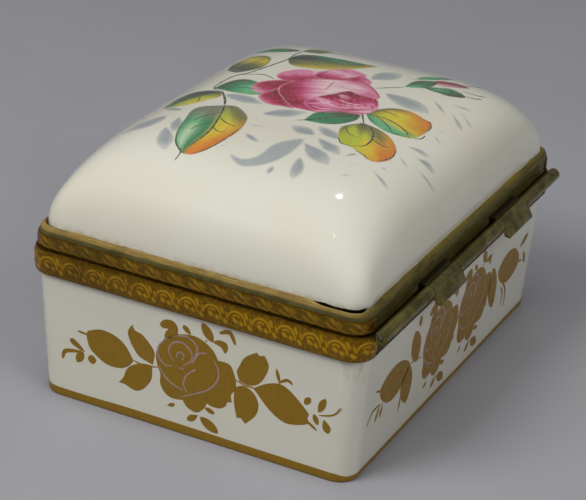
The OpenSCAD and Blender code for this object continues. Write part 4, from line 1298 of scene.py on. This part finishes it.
def make_lugs(material):
    """The stop lugs with softened edges. Edges within near_pin of the hinge line stay sharp."""
    near_pin, soft = 2.1, 0.4
    for side in ("left", "right"):
        node = "stop_lug_" + side
        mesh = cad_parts[node].data
        bm = bmesh.new()
        bm.from_mesh(mesh)
        bmesh.ops.remove_doubles(bm, verts=bm.verts, dist=0.001 * MM)
        bmesh.ops.dissolve_limit(bm, angle_limit=math.radians(1), verts=bm.verts, edges=bm.edges)
        outer = [e for e in bm.edges if len(e.link_faces) == 2 and e.calc_face_angle(0) > math.radians(20)
                 and all(math.hypot(v.co.y - HINGE_Y, v.co.z - HINGE_Z) > near_pin * MM for v in e.verts)]
        bmesh.ops.bevel(bm, geom=outer, offset=soft * MM, segments=4, profile=0.5, affect="EDGES",
                        clamp_overlap=True)
        verts = [v.co / MM for v in bm.verts]
        bm.verts.index_update()
        faces = [[v.index for v in f.verts] for f in bm.faces]
        bm.free()
        new_piece(node + "_soft", verts, faces, "lid", material, "brass_hinge", [node], sharp=35)


def dress(material, *nodes):
    """Puts a material in every slot of CAD nodes."""
    for node in nodes:
        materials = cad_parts[node].data.materials
        if not len(materials):
            materials.append(material)
        for k in range(len(materials)):
            materials[k] = material


def make_metal():
    """The brass, the steel pin, and the glue and cement that hold the mounts."""
    edge = 0.12
    base_brass = embossed("embossed_base", srgb(200, 150, 6), srgb(128, 94, 10), srgb(86, 62, 6), 0.9)
    lid_brass = embossed("embossed_lid", srgb(164, 122, 14), srgb(120, 92, 18), srgb(84, 62, 14), 0.45)
    make_strip("base_embossed_strip", "base_strip", out_edge=BASE_LEG_OUT, top=BASE_MOUNT_HIGH[2] - edge,
               bottom=BASE_MOUNT_LOW[2] + edge, crown=0.34, relief=arch_relief, relief_h=0.22, rows=36,
               material=base_brass)
    make_strip("lid_embossed_strip", "lid_strip", out_edge=0.0, top=LID_LEG_TOP - 0.1,
               bottom=LID_MOUNT_LOW[2] + edge, crown=0.26, relief=scroll_relief, relief_h=0.2, rows=22,
               material=lid_brass)
    make_lid_mount(bead_brass())
    cement = glue()
    make_glue(cement)
    frame_brass = patina("brass_frame", srgb(196, 148, 52), srgb(128, 88, 24), srgb(48, 34, 12), soil=0.7)
    dress(frame_brass, "base_mount", "clasp_tab", "clasp_stud")
    hinge = patina("brass_hinge", srgb(150, 138, 82), srgb(98, 90, 42), srgb(52, 46, 20), shine=0.2,
                   dull=0.38, metal=0.75, streak=(0.12, 1, 1), soil=0.4, behind_tarnish_and_shade=0.0, crevice_shade=True)
    make_lugs(hinge)
    dress(hinge, "base_knuckle_left", "base_knuckle_middle", "base_knuckle_right", "lid_knuckle_left",
          "lid_knuckle_right")
    dress(cement, "base_cement", "lid_cement")
    dress(steel(), "hinge_pin")


# ---------------------------------------------------------------- the stage
LAMP_AIM = Vector((0, 0, 0.04))


def sheet_floor():
    """The sheet the box stands on."""
    half = 3.0
    mesh = bpy.data.meshes.new("floor")
    corners = [(-half, -half, 0), (half, -half, 0), (half, half, 0), (-half, half, 0)]
    mesh.from_pydata(corners, [], [(0, 1, 2, 3)])
    floor = bpy.data.objects.new("floor", mesh)
    bpy.context.scene.collection.objects.link(floor)
    mesh.materials.append(floor_paint())


def lamp(name, azimuth, elevation, distance, size, power, colour=(1, 1, 1), seen=True):
    """A round soft lamp that faces the box; "seen" lamps are mirrored in the glaze."""
    a, e = math.radians(azimuth), math.radians(elevation)
    back = Vector((math.sin(a) * math.cos(e), -math.cos(a) * math.cos(e), math.sin(e)))
    light = bpy.data.lights.new(name, "AREA")
    light.shape = "DISK"
    light.size = size
    light.energy = power
    light.color = colour
    made = bpy.data.objects.new(name, light)
    made.location = back * distance + LAMP_AIM
    made.rotation_mode = "QUATERNION"
    made.rotation_quaternion = (-back).to_track_quat("-Z", "Y")
    made.visible_glossy = seen
    bpy.context.scene.collection.objects.link(made)


def make_camera():
    """The viewing angle: round to the corner of the +X end and the hinge, a little tilted."""
    azimuth, elevation, roll = math.radians(115.5), math.radians(25.62), math.radians(3.59)
    target = Vector((-8.9, -7.5, 23.5)) * MM
    distance = 574.4 * MM
    back = Vector((math.sin(azimuth) * math.cos(elevation), -math.cos(azimuth) * math.cos(elevation),
                   math.sin(elevation)))
    right = Vector((math.cos(azimuth), math.sin(azimuth), 0))
    up = back.cross(right)
    right, up = (math.cos(roll) * right + math.sin(roll) * up, -math.sin(roll) * right + math.cos(roll) * up)
    data = bpy.data.cameras.new("camera")
    data.sensor_width = 36
    data.lens = 122.87
    data.clip_start, data.clip_end = 0.01, 20
    camera = bpy.data.objects.new("camera", data)
    turn = Matrix((right, up, back)).transposed()
    camera.matrix_world = Matrix.Translation(target + back * distance) @ turn.to_4x4()
    bpy.context.scene.collection.objects.link(camera)
    bpy.context.scene.camera = camera


def make_stage():
    """The camera, the sheet, the lamps and a weak grey surround."""
    make_camera()
    sheet_floor()
    lamp("key", 62, 48, 1.1, 0.55, 7.0, (1, 0.99, 0.97), seen=False)
    lamp("fill", 160, 40, 1.4, 0.9, 6.0, (1, 0.99, 0.95), seen=False)
    lamp("top", 100, 80, 1.2, 0.7, 2.4, seen=False)
    lamp("glint", -78, 59, 1.1, 0.035, 0.22)
    lamp("spark", 99, 77, 1.1, 0.02, 0.06)
    world = bpy.data.worlds.new("studio")
    world.use_nodes = True
    world.node_tree.nodes["Background"].inputs["Color"].default_value = (0.62, 0.64, 0.68, 1)
    world.node_tree.nodes["Background"].inputs["Strength"].default_value = 0.22
    bpy.context.scene.world = world
    bpy.context.scene.view_settings.view_transform = "Standard"


make_stage()
make_lid()
make_base()
make_gold()
make_metal()
